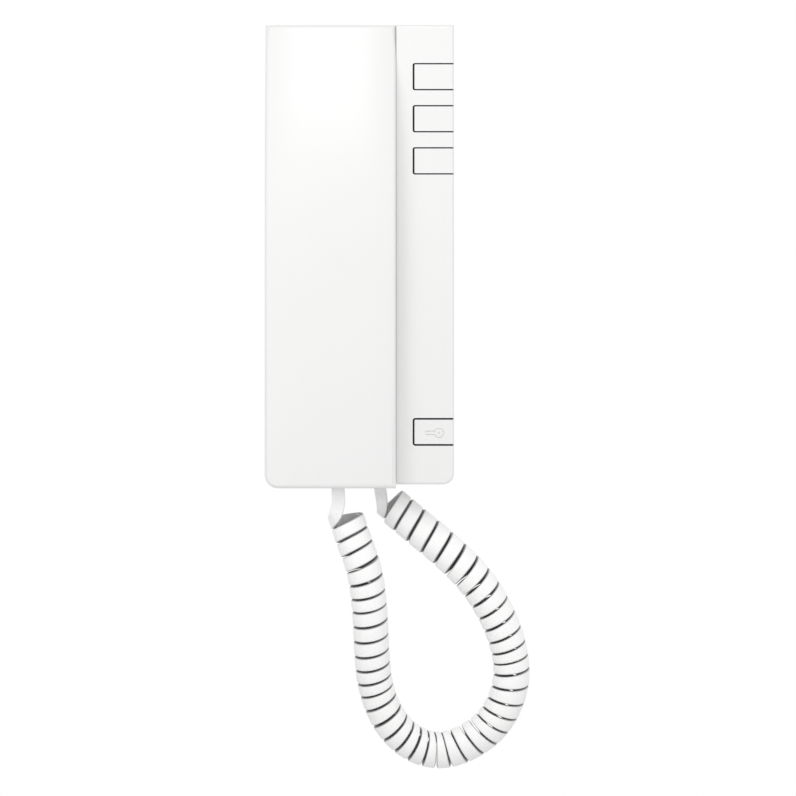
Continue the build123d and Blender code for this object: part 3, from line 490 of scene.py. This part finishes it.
@dataclass(frozen=True)
class BoardFinish(Finish):
    """A circuit board: fields of solder mask in two shades, with copper runs between them.

    Attributes:
        mask: The solder mask's colour.
        run: The colour of the runs.
        run_pitch: The distance between two runs, in metres.
        run_share: A run's width, as a share of run_pitch.
        field_share: A field's length, as a share of run_pitch.
        second_shade: The factor on the mask's colour in its second shade.
        run_height: The height between a run and the mask, in metres.
    """

    mask: Colour
    run: Colour
    run_pitch: float = 0.0025
    run_share: float = 0.125
    field_share: float = 5.0
    second_shade: float = 0.86
    run_height: float = 0.00004

    def lay(self, tree: bpy.types.NodeTree) -> None:
        """Lay the copper runs round the fields of solder mask, and the surface over them.

        Args:
            tree: The material's node tree.
        """
        place = tree.nodes.new("ShaderNodeTexCoord")
        turn = tree.nodes.new("ShaderNodeMapping")
        turn.inputs["Rotation"].default_value = (math.radians(90), 0.0, 0.0)
        tree.links.new(place.outputs["Object"], turn.inputs["Vector"])
        runs = tree.nodes.new("ShaderNodeTexBrick")
        values = {
            "Scale": 1.0,
            "Mortar Size": self.run_pitch * self.run_share,
            "Brick Width": self.run_pitch * self.field_share,
            "Row Height": self.run_pitch,
            "Color1": (*self.mask, 1.0),
            "Color2": (*(part * self.second_shade for part in self.mask), 1.0),
            "Mortar": (*self.run, 1.0),
            "Vector": turn.outputs[0],
        }
        for label, value in values.items():
            feed(tree, runs.inputs[label], value)
        self.surface(
            tree,
            {
                "Mottling": 0.08,
                "Grain size": 2600.0,
                "Gloss": 0.3,
                "Gloss change": 0.12,
                "Colour": runs.outputs["Color"],
            },
        )
        self.relief(tree, runs.outputs["Fac"], self.run_height)


@dataclass(frozen=True)
class CordFinish(Finish):
    """Soft white PVC of a flat cord: smooth outside, with painted shade along its narrow sides, which stands
    in for the dark gaps between the turns, and inside the coil.

    Attributes:
        colour: The colour outside.
        painted_shade_colour: The colour of the painted shade at the narrow sides and inside the coil.
        gloss: The middle of its roughness.
        inner_painted_shade: The share of painted_shade_colour inside the coil, painted shade for the coil's
            shaded inside.
        side_start: How near to a narrow side the painted shade begins, where 1 is the side itself.
        grain_depth: The grain's depth, in metres.
    """

    name: str = "Flat cord PVC"
    colour: Colour = (0.96, 0.96, 0.955)
    painted_shade_colour: Colour = (0.34, 0.34, 0.34)
    gloss: float = 0.42
    inner_painted_shade: float = 0.75
    side_start: float = 0.80
    grain_depth: float = 0.00001

    @staticmethod
    def read(tree: bpy.types.NodeTree, attribute: str) -> bpy.types.NodeSocket:
        """Read one of the ribbon's own values.

        Args:
            tree: The material's node tree.
            attribute: The attribute's name.

        Returns:
            The socket of the value.
        """
        node = tree.nodes.new("ShaderNodeAttribute")
        node.attribute_name = attribute
        return node.outputs["Fac"]

    def lay(self, tree: bpy.types.NodeTree) -> None:
        """Lay the white outside and the painted shade on the narrow sides and inside the coil.

        Args:
            tree: The material's node tree.
        """
        # Painted shade: the narrow sides, which face into the gaps between the turns, and the coil's inside
        # are greyed in the colour.
        side = add_easing(tree, self.read(tree, "across"), self.side_start, 1.0)
        inner = add_math(tree, "MULTIPLY", self.read(tree, "inner"), self.inner_painted_shade)
        painted_shade_mask = add_math(tree, "MAXIMUM", side, inner)
        surface = self.surface(
            tree,
            {
                "Mottling": 0.02,
                "Grain size": 1400.0,
                "Gloss": self.gloss,
                "Gloss change": 0.1,
                "Colour": add_colour_mix(tree, painted_shade_mask, (*self.colour, 1.0), (*self.painted_shade_colour, 1.0)),
            },
        )
        self.relief(tree, surface.outputs["Grain"], self.grain_depth)


@dataclass
class CurlyCord:
    """The flat curly cord: a ribbon wound round a hanging loop, with a flat lead at each end.

    Each list of marks pairs a turn, counted from the handset, with a value there. Lengths are in metres.

    Attributes:
        axis_route: The loop that the turns are wound round, from the handset to the base.
        coil_start: The loop's length before the first turn.
        coil_finish: The loop's length after the last turn.
        turns: How many turns the coil has.
        centre_radius: The radius of the ribbon's middle.
        thickness: The ribbon's thickness.
        edge_radius: The rounding of its narrow sides.
        gap_marks: The gap between two turns.
        pitch_marks: The pitch of the turns, in parts that are scaled to fill the loop.
        lean_marks: How far the turns lean, in degrees.
        radius_marks: The radius, as a share of centre_radius.
        end_taper: The share of its width that the ribbon loses at the base's end.
        taper_turns: The turns over which it loses that.
        handset_exit: Where the cord leaves the handset.
        base_exit: Where the cord leaves the base.
        handset_lead_width: The width of the handset's lead.
        base_lead_width: The width of the base's lead.
        real_length: The real cord's length.
        points_per_turn: Control points to a turn.
        axis_resolution: Points to a span of the loop.
        line_resolution: Points to a span of the ribbon's middle.
        heading_reach: Points of the loop to each side that its direction is read over.
        bend_reach: Points of the loop to each side that its bend is read over.
        corner_steps: Steps round each corner of the cross-section.
        lead_shade: The factor on a lead's nearness to its narrow sides, which keeps the painted shade off
            those sides.
        side_fade: Turns from an end between which that factor rises to 1.
        inner_fade: Turns from an end between which the inside gets its painted shade.
        smooth_angle: The largest angle that is shaded smooth, in degrees.
        finish: The cord's finish.
    """

    axis_route: tuple[Point, ...] = (
        (-0.0076, -0.0252, -0.1125), (-0.0036, -0.0252, -0.1250), (0.0025, -0.0246, -0.1410),
        (0.0047, -0.0216, -0.1600), (0.0052, -0.0176, -0.1780), (0.0070, -0.0140, -0.1950),
        (0.0140, -0.0116, -0.2107), (0.0250, -0.0102, -0.2202), (0.0372, -0.0096, -0.2226),
        (0.0500, -0.0096, -0.2180), (0.0610, -0.0099, -0.2090), (0.0675, -0.0104, -0.1950),
        (0.0682, -0.0108, -0.1810), (0.0635, -0.0110, -0.1648), (0.0538, -0.0108, -0.1475),
        (0.0402, -0.0102, -0.1334), (0.0238, -0.0092, -0.1201), (0.0100, -0.0084, -0.1084),
    )
    coil_start: float = 0.0049
    coil_finish: float = 0.0045
    turns: float = 42.5
    centre_radius: float = 0.00665
    thickness: float = 0.0026
    edge_radius: float = 0.0008
    gap_marks: Marks = (
        (0.0, 0.00072), (15.0, 0.00074), (18.0, 0.00092), (23.0, 0.00092), (26.0, 0.00080), (35.0, 0.00076),
        (38.0, 0.00090), (42.5, 0.00080),
    )
    pitch_marks: Marks = (
        (0.0, 6.5), (2.0, 6.6), (3.0, 7.4), (4.0, 6.8), (6.0, 6.0), (7.0, 6.9), (9.0, 6.7), (11.0, 5.8),
        (12.0, 5.2), (14.0, 6.8), (16.0, 5.6), (19.0, 4.9), (20.0, 5.4), (21.5, 6.7), (24.0, 5.6),
        (25.0, 5.8), (27.0, 6.8), (28.0, 6.6), (29.0, 5.1), (30.0, 5.6), (32.0, 6.6), (36.0, 6.7),
        (37.0, 7.3), (40.0, 8.1), (41.0, 7.0), (42.0, 6.1), (42.5, 6.1),
    )
    lean_marks: Marks = (
        (0.0, 0.0), (3.0, 4.0), (5.0, 9.0), (13.0, 11.0), (17.6, 13.5), (18.9, 11.0), (19.9, 4.5),
        (20.9, 0.0), (22.0, -4.5), (24.5, -10.0), (27.0, -13.0), (31.0, -15.0), (34.0, -15.0), (36.0, -9.5),
        (38.0, -4.0), (42.5, 0.0),
    )
    radius_marks: Marks = (
        (0.0, 1.0), (14.0, 1.0), (19.0, 1.05), (23.0, 1.06), (30.0, 1.03), (33.0, 1.04), (36.0, 1.06),
        (42.1, 1.05), (42.5, 0.87),
    )
    end_taper: float = 0.16
    taper_turns: float = 0.45
    handset_exit: Point = (-0.0096, -0.0310, -0.10395)
    base_exit: Point = (0.00900, -0.01155, -0.10235)
    handset_lead_width: float = 0.0059
    base_lead_width: float = 0.0054
    real_length: float = 1.87
    points_per_turn: int = 24
    axis_resolution: int = 48
    line_resolution: int = 3
    heading_reach: int = 12
    bend_reach: int = 30
    corner_steps: int = 4
    lead_shade: float = 0.80
    side_fade: tuple[float, float] = (0.1, 0.5)
    inner_fade: tuple[float, float] = (0.2, 0.6)
    smooth_angle: float = 50.0
    finish: CordFinish = field(default_factory=CordFinish)

    def smooth_points(self, name: str, corners: list[Vector], resolution: int) -> list[Vector]:
        """Read the points of a smooth spline through a route.

        Args:
            name: A name for the curve while it lasts.
            corners: The spline's control points.
            resolution: Points per span.

        Returns:
            The points along the spline.
        """
        data = bpy.data.curves.new(name, "CURVE")
        data.dimensions = "3D"
        spline = data.splines.new("NURBS")
        spline.points.add(len(corners) - 1)
        for point, corner in zip(spline.points, corners):
            point.co = (*corner, 1.0)
        spline.order_u = 3
        spline.use_endpoint_u = True
        spline.resolution_u = resolution
        holder = bpy.data.objects.new(name, data)
        bpy.context.collection.objects.link(holder)
        bpy.context.view_layer.update()
        ready = holder.evaluated_get(bpy.context.evaluated_depsgraph_get())
        mesh = bpy.data.meshes.new_from_object(ready)
        points = [vertex.co.copy() for vertex in mesh.vertices]
        bpy.data.objects.remove(holder)
        bpy.data.meshes.remove(mesh)
        bpy.data.curves.remove(data)
        return points

    def wind(self) -> Strand:
        """Wind the cord's control points: handset lead, coil, base lead.

        Returns:
            The control points, the direction across the ribbon at each, and its width at each.
        """
        route = [Vector(point) for point in self.axis_route]
        axis = self.smooth_points("cord_axis", route, self.axis_resolution)
        run = [0.0]
        for here, there in zip(axis, axis[1:]):
            run.append(run[-1] + (there - here).length)
        free = run[-1] - self.coil_start - self.coil_finish
        steps = round(self.turns * self.points_per_turn)
        pitch_sum = [0.0]
        for step in range(steps):
            turn = (step + 0.5) / self.points_per_turn
            pitch_sum.append(pitch_sum[-1] + read_marks(self.pitch_marks, turn))
        scale = free / pitch_sum[-1]
        helix: list[Vector] = []
        across: list[Vector] = []
        widths: list[float] = []
        index = 0
        for step in range(steps + 1):
            turn = step / self.points_per_turn
            distance = self.coil_start + scale * pitch_sum[step]
            while index < len(run) - 2 and run[index + 1] < distance:
                index += 1
            share = (distance - run[index]) / (run[index + 1] - run[index])
            middle = axis[index].lerp(axis[index + 1], share)
            back = axis[max(index - self.heading_reach, 0)]
            ahead = axis[min(index + 1 + self.heading_reach, len(axis) - 1)]
            along = (ahead - back).normalized()
            front = Vector((0.0, -1.0, 0.0))
            front = (front - along * front.dot(along)).normalized()
            outside = along.cross(front)
            angle = 2.0 * math.pi * turn
            radius = self.centre_radius * read_marks(self.radius_marks, turn)
            lean = radius * math.tan(math.radians(read_marks(self.lean_marks, turn)))
            arm = outside * math.cos(angle) - front * math.sin(angle)
            helix.append(middle + arm * radius - along * (lean * math.sin(angle)))
            across.append(along)
            before = axis[max(index - self.bend_reach, 0)]
            after = axis[min(index + 1 + self.bend_reach, len(axis) - 1)]
            bend = (after - middle).normalized() - (middle - before).normalized()
            curve = bend / max((after - before).length / 2.0, 1e-6)
            local_pitch = (
                read_marks(self.pitch_marks, turn) * scale * self.points_per_turn
                * (1.0 - curve.dot(arm) * radius)
            )
            taper = 1.0 - self.end_taper * smoothstep(self.turns - self.taper_turns, self.turns, turn)
            widths.append((local_pitch - read_marks(self.gap_marks, turn)) * taper)
        return self.add_leads(helix, across, widths)

    def add_leads(self, helix: list[Vector], across: list[Vector], widths: list[float]) -> Strand:
        """Add the flat leads to the wound part.

        Args:
            helix: The coil's control points.
            across: The direction across the ribbon at each.
            widths: The ribbon's width at each.

        Returns:
            The whole cord's control points, directions across and widths.
        """
        first, last = Vector(self.handset_exit), Vector(self.base_exit)
        start, finish = helix[0], helix[-1]
        lead_in = [
            first,
            first + Vector((0.0, 0.0, -0.0030)),
            first + Vector((0.0004, 0.0001, -0.0065)),
            Vector((first.x - 0.0006, first.y + 0.0002, start.z + 0.0048)),
            Vector((start.x + 0.0012, first.y + 0.0018, start.z + 0.0020)),
        ]
        lead_out = [
            finish + Vector((0.0003, -0.0024, 0.0006)),
            Vector((last.x + 0.0011, last.y - 0.0009, finish.z + 0.0024)),
            Vector((last.x + 0.0009, last.y - 0.0007, finish.z + 0.0050)),
            last + Vector((0.00035, 0.0, -0.0040)),
            last + Vector((0.0, 0.0, -0.0020)),
            last,
        ]
        flat = Vector((1.0, 0.0, 0.0))
        count_in, count_out = len(lead_in), len(lead_out)
        into = [
            flat.lerp(across[0], smoothstep(1.0, count_in, step)).normalized()
            for step in range(count_in)
        ]
        away = [
            across[-1].lerp(-flat, smoothstep(-1.0, count_out - 2.0, step)).normalized()
            for step in range(count_out)
        ]
        wide_in = [
            self.handset_lead_width + (widths[0] - self.handset_lead_width) * smoothstep(1.0, count_in, step)
            for step in range(count_in)
        ]
        wide_out = [
            widths[-1] + (self.base_lead_width - widths[-1]) * smoothstep(-1.0, count_out - 2.0, step)
            for step in range(count_out)
        ]
        return lead_in + helix + lead_out, into + across + away, wide_in + widths + wide_out

    def section(self, width: float) -> list[tuple[float, float]]:
        """The ribbon's cross-section: a flat bar with rounded narrow sides.

        Args:
            width: The ribbon's width.

        Returns:
            Points as a distance across and a distance out, in order round the section.
        """
        half_wide, half_thick, corner = width / 2.0, self.thickness / 2.0, self.edge_radius
        points: list[tuple[float, float]] = []
        for side, out, begin in ((1, 1, 0), (-1, 1, 90), (-1, -1, 180), (1, -1, 270)):
            for step in range(self.corner_steps + 1):
                angle = math.radians(begin + 90.0 / self.corner_steps * step)
                points.append(
                    (side * (half_wide - corner) + corner * math.cos(angle),
                     out * (half_thick - corner) + corner * math.sin(angle))
                )
        return points

    def skin(self, path: list[Vector], strand: Strand) -> tuple[list[Vector], list[float], list[float]]:
        """Lay the ribbon's cross-section along its middle, ring after ring.

        Args:
            path: The points along the ribbon's middle.
            strand: The control points, directions across and widths that the path is drawn from.

        Returns:
            The vertices, and for each how near it is to a narrow side and to the inside of the coil: the
            masks of the painted shade.
        """
        corners, across, widths = strand
        vertices: list[Vector] = []
        sides: list[float] = []
        inner: list[float] = []
        spans = len(corners) - 2
        for index, point in enumerate(path):
            place = index / (len(path) - 1) * spans + 0.5
            low = min(int(place), len(corners) - 2)
            share = min(max(place - low, 0.0), 1.0)
            heading = (path[min(index + 1, len(path) - 1)] - path[max(index - 1, 0)]).normalized()
            wide = across[low].lerp(across[low + 1], share)
            wide = (wide - heading * wide.dot(heading)).normalized()
            out = wide.cross(heading)
            width = widths[low] + (widths[low + 1] - widths[low]) * share
            from_end = min(place, spans - place) / self.points_per_turn
            shaded = self.lead_shade + (1.0 - self.lead_shade) * smoothstep(*self.side_fade, from_end)
            inside = smoothstep(*self.inner_fade, from_end)
            # Masks for the finish's painted shade: nearness to a narrow side, and to the coil's inside.
            for side, height in self.section(width):
                vertices.append(point + wide * side + out * height)
                sides.append(shaded * abs(side) / (width / 2.0))
                inner.append(inside * max(height / (self.thickness / 2.0), 0.0))
        return vertices, sides, inner

    def join(self, rings: int) -> list[tuple[int, ...]]:
        """Join the rings to each other and close the ribbon's two ends.

        Args:
            rings: How many rings there are.

        Returns:
            The faces.
        """
        ring = 4 * (self.corner_steps + 1)
        last = (rings - 1) * ring
        faces: list[tuple[int, ...]] = []
        for base in range(0, last, ring):
            for corner in range(ring):
                other = (corner + 1) % ring
                faces.append((base + corner, base + other, base + ring + other, base + ring + corner))
        faces.append(tuple(reversed(range(ring))))
        faces.append(tuple(range(last, last + ring)))
        return faces

    def build(self) -> bpy.types.Object:
        """Returns:
            The finished piece.
        """
        strand = self.wind()
        path = self.smooth_points("cord_line", strand[0], self.line_resolution)
        vertices, sides, inner = self.skin(path, strand)
        mesh = bpy.data.meshes.new("curly_cord_ribbon")
        mesh.from_pydata(vertices, [], self.join(len(path)))
        # The painted shade's masks, which the cord's finish reads.
        for label, values in (("across", sides), ("inner", inner)):
            mark = mesh.attributes.new(label, "FLOAT", "POINT")
            mark.data.foreach_set("value", values)
        ribbon = bpy.data.objects.new("curly_cord_ribbon", mesh)
        bpy.context.collection.objects.link(ribbon)
        bpy.ops.object.select_all(action="DESELECT")
        bpy.context.view_layer.objects.active = ribbon
        ribbon.select_set(True)
        bpy.ops.object.mode_set(mode="EDIT")
        bpy.ops.mesh.select_all(action="SELECT")
        bpy.ops.mesh.normals_make_consistent(inside=False)
        bpy.ops.object.mode_set(mode="OBJECT")
        bpy.ops.object.shade_smooth_by_angle(angle=math.radians(self.smooth_angle))
        ribbon.data.materials.append(self.finish.material())
        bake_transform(ribbon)
        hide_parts("curly_cord", "handset_lead", "base_lead")
        length = sum((there - here).length for here, there in zip(path, path[1:]))
        log.info("curly cord: %.3f m along its middle, %d rings", length, len(path))
        return ribbon


class Finishes(Enum):
    """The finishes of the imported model's own nodes."""

    SHELL = PlasticFinish("Casing plastic", (0.81, 0.81, 0.805), gloss=0.30, gloss_change=0.06)
    INNER_SHELL = PlasticFinish("Wall plate plastic", (0.74, 0.74, 0.72), gloss=0.5, grain_depth=0.00002)
    CLEAR = PlasticFinish("Clear plug plastic", (0.86, 0.88, 0.88), gloss=0.12, clear=0.6, dust=0.0)
    SOCKET = PlasticFinish("Socket plastic", (0.02, 0.02, 0.022), gloss=0.4, mottling=0.1)
    INNER = PlasticFinish("Component plastic", (0.018, 0.018, 0.02), gloss=0.45, mottling=0.15)
    TERMINAL = PlasticFinish("Terminal plastic", (0.05, 0.27, 0.11), gloss=0.4, mottling=0.08)
    FOAM = PlasticFinish("Gasket foam", (0.06, 0.06, 0.06), gloss=0.95, grain_size=700.0, grain_depth=0.0003)
    BOOT = PlasticFinish(
        "Boot rubber", (0.025, 0.025, 0.025), gloss=0.75, grain_size=1200.0, grain_depth=0.00004
    )
    # Painted shade: the near-black seals in the gaps round the buttons stand in for the gaps' shade.
    GAP_SHADE_SEAL = PlasticFinish("Gap shade seal rubber", (0.010, 0.010, 0.010), gloss=0.9, grain_size=1200.0, dust=0.0)
    SCREW = MetalFinish("Zinc plated screw", (0.62, 0.62, 0.60), 0.28)
    BALLAST = MetalFinish("Raw ballast steel", (0.36, 0.35, 0.34), 0.45, 300.0, 0.00004)
    SPEAKER = MetalFinish("Speaker basket steel", (0.22, 0.22, 0.23), 0.4)
    CAPSULE = MetalFinish("Microphone can", (0.72, 0.72, 0.73), 0.22)
    BOARD = BoardFinish("Board solder mask", (0.012, 0.14, 0.04), (0.03, 0.26, 0.09))


@dataclass
class Dresser:
    """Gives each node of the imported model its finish."""

    finish_of: dict[str, Finishes] = field(
        default_factory=lambda: {
            "handset_front": Finishes.SHELL, "handset_rear": Finishes.SHELL, "base_cover": Finishes.SHELL,
            "call_button_1": Finishes.SHELL, "call_button_2": Finishes.SHELL, "call_button_3": Finishes.SHELL,
            "door_button": Finishes.SHELL, "hook_plunger": Finishes.SHELL, "wall_plate": Finishes.INNER_SHELL,
            "handset_cord_plug": Finishes.CLEAR, "base_cord_plug": Finishes.CLEAR,
            "handset_cord_socket": Finishes.SOCKET, "base_cord_socket": Finishes.SOCKET,
            "hook_switch": Finishes.INNER, "ringer": Finishes.INNER, "push_switches": Finishes.INNER,
            "board_connector": Finishes.INNER, "main_board": Finishes.BOARD, "button_board": Finishes.BOARD,
            "terminal_block": Finishes.TERMINAL, "board_screws": Finishes.SCREW,
            "button_board_screws": Finishes.SCREW, "handset_screws": Finishes.SCREW,
            "cover_screw": Finishes.SCREW, "handset_weight": Finishes.BALLAST,
            "earpiece_speaker": Finishes.SPEAKER, "earpiece_gasket": Finishes.FOAM,
            # The button seals' near-black is painted shade for the gaps round the buttons.
            "microphone_boot": Finishes.BOOT, "microphone": Finishes.CAPSULE, "button_seals": Finishes.GAP_SHADE_SEAL,
        }
    )

    def dress(self, nodes: dict[str, bpy.types.Object]) -> None:
        """Put the finishes on the nodes' material slots.

        Args:
            nodes: Node name to its object.
        """
        for name, finish in self.finish_of.items():
            mesh = nodes[name].data
            mesh.materials.clear()
            mesh.materials.append(finish.value.material())
            log.info("%s wears %s", name, finish.value.name)


@dataclass(frozen=True)
class Lamp:
    """A soft rectangular lamp.

    Attributes:
        name: The lamp's name.
        place: Where it hangs.
        aim: The point that it faces.
        size: Its width and its height.
        power: Its power in watts.
    """

    name: str
    place: Point
    aim: Point
    size: tuple[float, float]
    power: float

    def hang(self) -> None:
        """Add the lamp to the scene."""
        bpy.ops.object.light_add(type="AREA", location=self.place)
        lamp = bpy.context.object
        lamp.name = self.name
        lamp.data.shape = "RECTANGLE"
        lamp.data.size, lamp.data.size_y = self.size
        lamp.data.energy = self.power
        lamp.rotation_euler = (Vector(self.aim) - Vector(self.place)).to_track_quat("-Z", "Y").to_euler()


@dataclass
class Studio:
    """The floor, the lamps, the world and the camera.

    Attributes:
        frame_width: The width of what the camera shows at the subject, in metres.
        look_x: The middle of the picture across.
        look_z: The middle of the picture upwards.
        subject_depth: The depth at which frame_width holds.
        camera_distance: The camera's distance from there.
        sensor_width: The camera's sensor, in millimetres.
        clip_end: How far the camera sees.
        floor_z: The floor's height.
        floor_radius: The floor's radius.
        floor_fade: The radius from which the floor fades out.
        floor_sides: The number of corners on the floor's rim.
        floor_finish: The floor's finish.
        ambient: The strength of the light from all round.
        ambient_slope: How much stronger it is towards the right, the back and the top.
        lamps: The lamps.
    """

    frame_width: float = 0.3544
    look_x: float = 0.01707
    look_z: float = -0.06393
    subject_depth: float = -0.030
    camera_distance: float = 2.5
    sensor_width: float = 36.0
    clip_end: float = 20.0
    floor_z: float = -0.30
    floor_radius: float = 0.55
    floor_fade: float = 0.15
    floor_sides: int = 96
    floor_finish: Finish = PlasticFinish("Floor", (0.82, 0.82, 0.82), gloss=0.7, dust=0.0)
    ambient: float = 0.757
    ambient_slope: Point = (0.16, -0.12, -0.01)
    lamps: tuple[Lamp, ...] = (
        Lamp("key", (-0.60, -1.50, 0.75), (0.0, -0.02, -0.03), (1.2, 1.2), 2.4),
        Lamp("strip", (-0.02, -1.15, 0.95), (-0.012, -0.03, 0.03), (0.35, 0.9), 3.3),
        Lamp("fill", (-0.75, -1.15, -0.75), (0.03, 0.0, -0.15), (0.7, 0.9), 7.3),
    )

    def fade(self, tree: bpy.types.NodeTree) -> None:
        """Fade the floor out towards its rim and from below, for the camera only.

        Args:
            tree: The node tree of the floor's material.
        """
        nodes, links = tree.nodes, tree.links
        place = nodes.new("ShaderNodeTexCoord")
        reach = nodes.new("ShaderNodeVectorMath")
        reach.operation = "LENGTH"
        links.new(place.outputs["Object"], reach.inputs[0])
        rim = add_easing(tree, reach.outputs["Value"], self.floor_fade, self.floor_radius)
        side = nodes.new("ShaderNodeNewGeometry")
        hidden = add_math(tree, "MAXIMUM", rim, side.outputs["Backfacing"])
        path = nodes.new("ShaderNodeLightPath")
        unseen = add_math(tree, "MULTIPLY", hidden, path.outputs["Is Camera Ray"])
        clear = nodes.new("ShaderNodeBsdfTransparent")
        blend = nodes.new("ShaderNodeMixShader")
        links.new(unseen, blend.inputs[0])
        links.new(nodes["Principled BSDF"].outputs["BSDF"], blend.inputs[1])
        links.new(clear.outputs["BSDF"], blend.inputs[2])
        links.new(blend.outputs[0], nodes["Material Output"].inputs["Surface"])

    def build_floor(self) -> None:
        """Make the pale floor, a disc below the loop that fades out and doesn't show from below."""
        bpy.ops.object.select_all(action="DESELECT")
        bpy.ops.mesh.primitive_circle_add(
            vertices=self.floor_sides, radius=self.floor_radius, fill_type="NGON",
            location=(0.0, 0.0, self.floor_z),
        )
        floor = bpy.context.object
        floor.name = "floor"
        material = self.floor_finish.material()
        self.fade(material.node_tree)
        floor.data.materials.append(material)

    def build_world(self) -> None:
        """Light from all round, a little more from the right and from the front, and show white behind."""
        world = bpy.data.worlds.new("Studio world")
        bpy.context.scene.world = world
        world.use_nodes = True
        tree = world.node_tree
        nodes, links = tree.nodes, tree.links
        sky = nodes["Background"]
        sky.inputs["Color"].default_value = (1.0, 1.0, 1.0, 1.0)
        path = nodes.new("ShaderNodeLightPath")
        seen = add_math(tree, "MAXIMUM", path.outputs["Is Camera Ray"], path.outputs["Is Glossy Ray"])
        through = add_math(tree, "MAXIMUM", seen, path.outputs["Is Transmission Ray"])
        place = nodes.new("ShaderNodeTexCoord")
        lean = nodes.new("ShaderNodeVectorMath")
        lean.operation = "DOT_PRODUCT"
        links.new(place.outputs["Generated"], lean.inputs[0])
        lean.inputs[1].default_value = self.ambient_slope
        dome = add_math(tree, "ADD", lean.outputs["Value"], self.ambient)
        level = nodes.new("ShaderNodeMix")
        links.new(through, level.inputs["Factor"])
        links.new(dome, level.inputs["A"])
        level.inputs["B"].default_value = 1.0
        links.new(level.outputs["Result"], sky.inputs["Strength"])

    def build_camera(self) -> None:
        """Set the level, far camera that frames the object as in the photograph."""
        data = bpy.data.cameras.new("camera")
        camera = bpy.data.objects.new("camera", data)
        bpy.context.collection.objects.link(camera)
        data.sensor_width = self.sensor_width
        data.lens = self.sensor_width * self.camera_distance / self.frame_width
        data.clip_end = self.clip_end
        camera.location = (self.look_x, self.subject_depth - self.camera_distance, self.look_z)
        camera.rotation_euler = (math.radians(90.0), 0.0, 0.0)
        bpy.context.scene.camera = camera

    def build(self) -> None:
        """Set up the whole stage."""
        self.build_floor()
        self.build_world()
        for lamp in self.lamps:
            lamp.hang()
        self.build_camera()
        bpy.context.scene.view_settings.view_transform = "Standard"


def main() -> None:
    """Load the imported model, dress it and set the stage."""
    logging.basicConfig(level=logging.INFO, format="%(name)s: %(message)s")
    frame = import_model()
    Dresser().dress(frame["nodes"])
    CurlyCord().build()
    Studio().build()


if __name__ == "__main__":
    main()
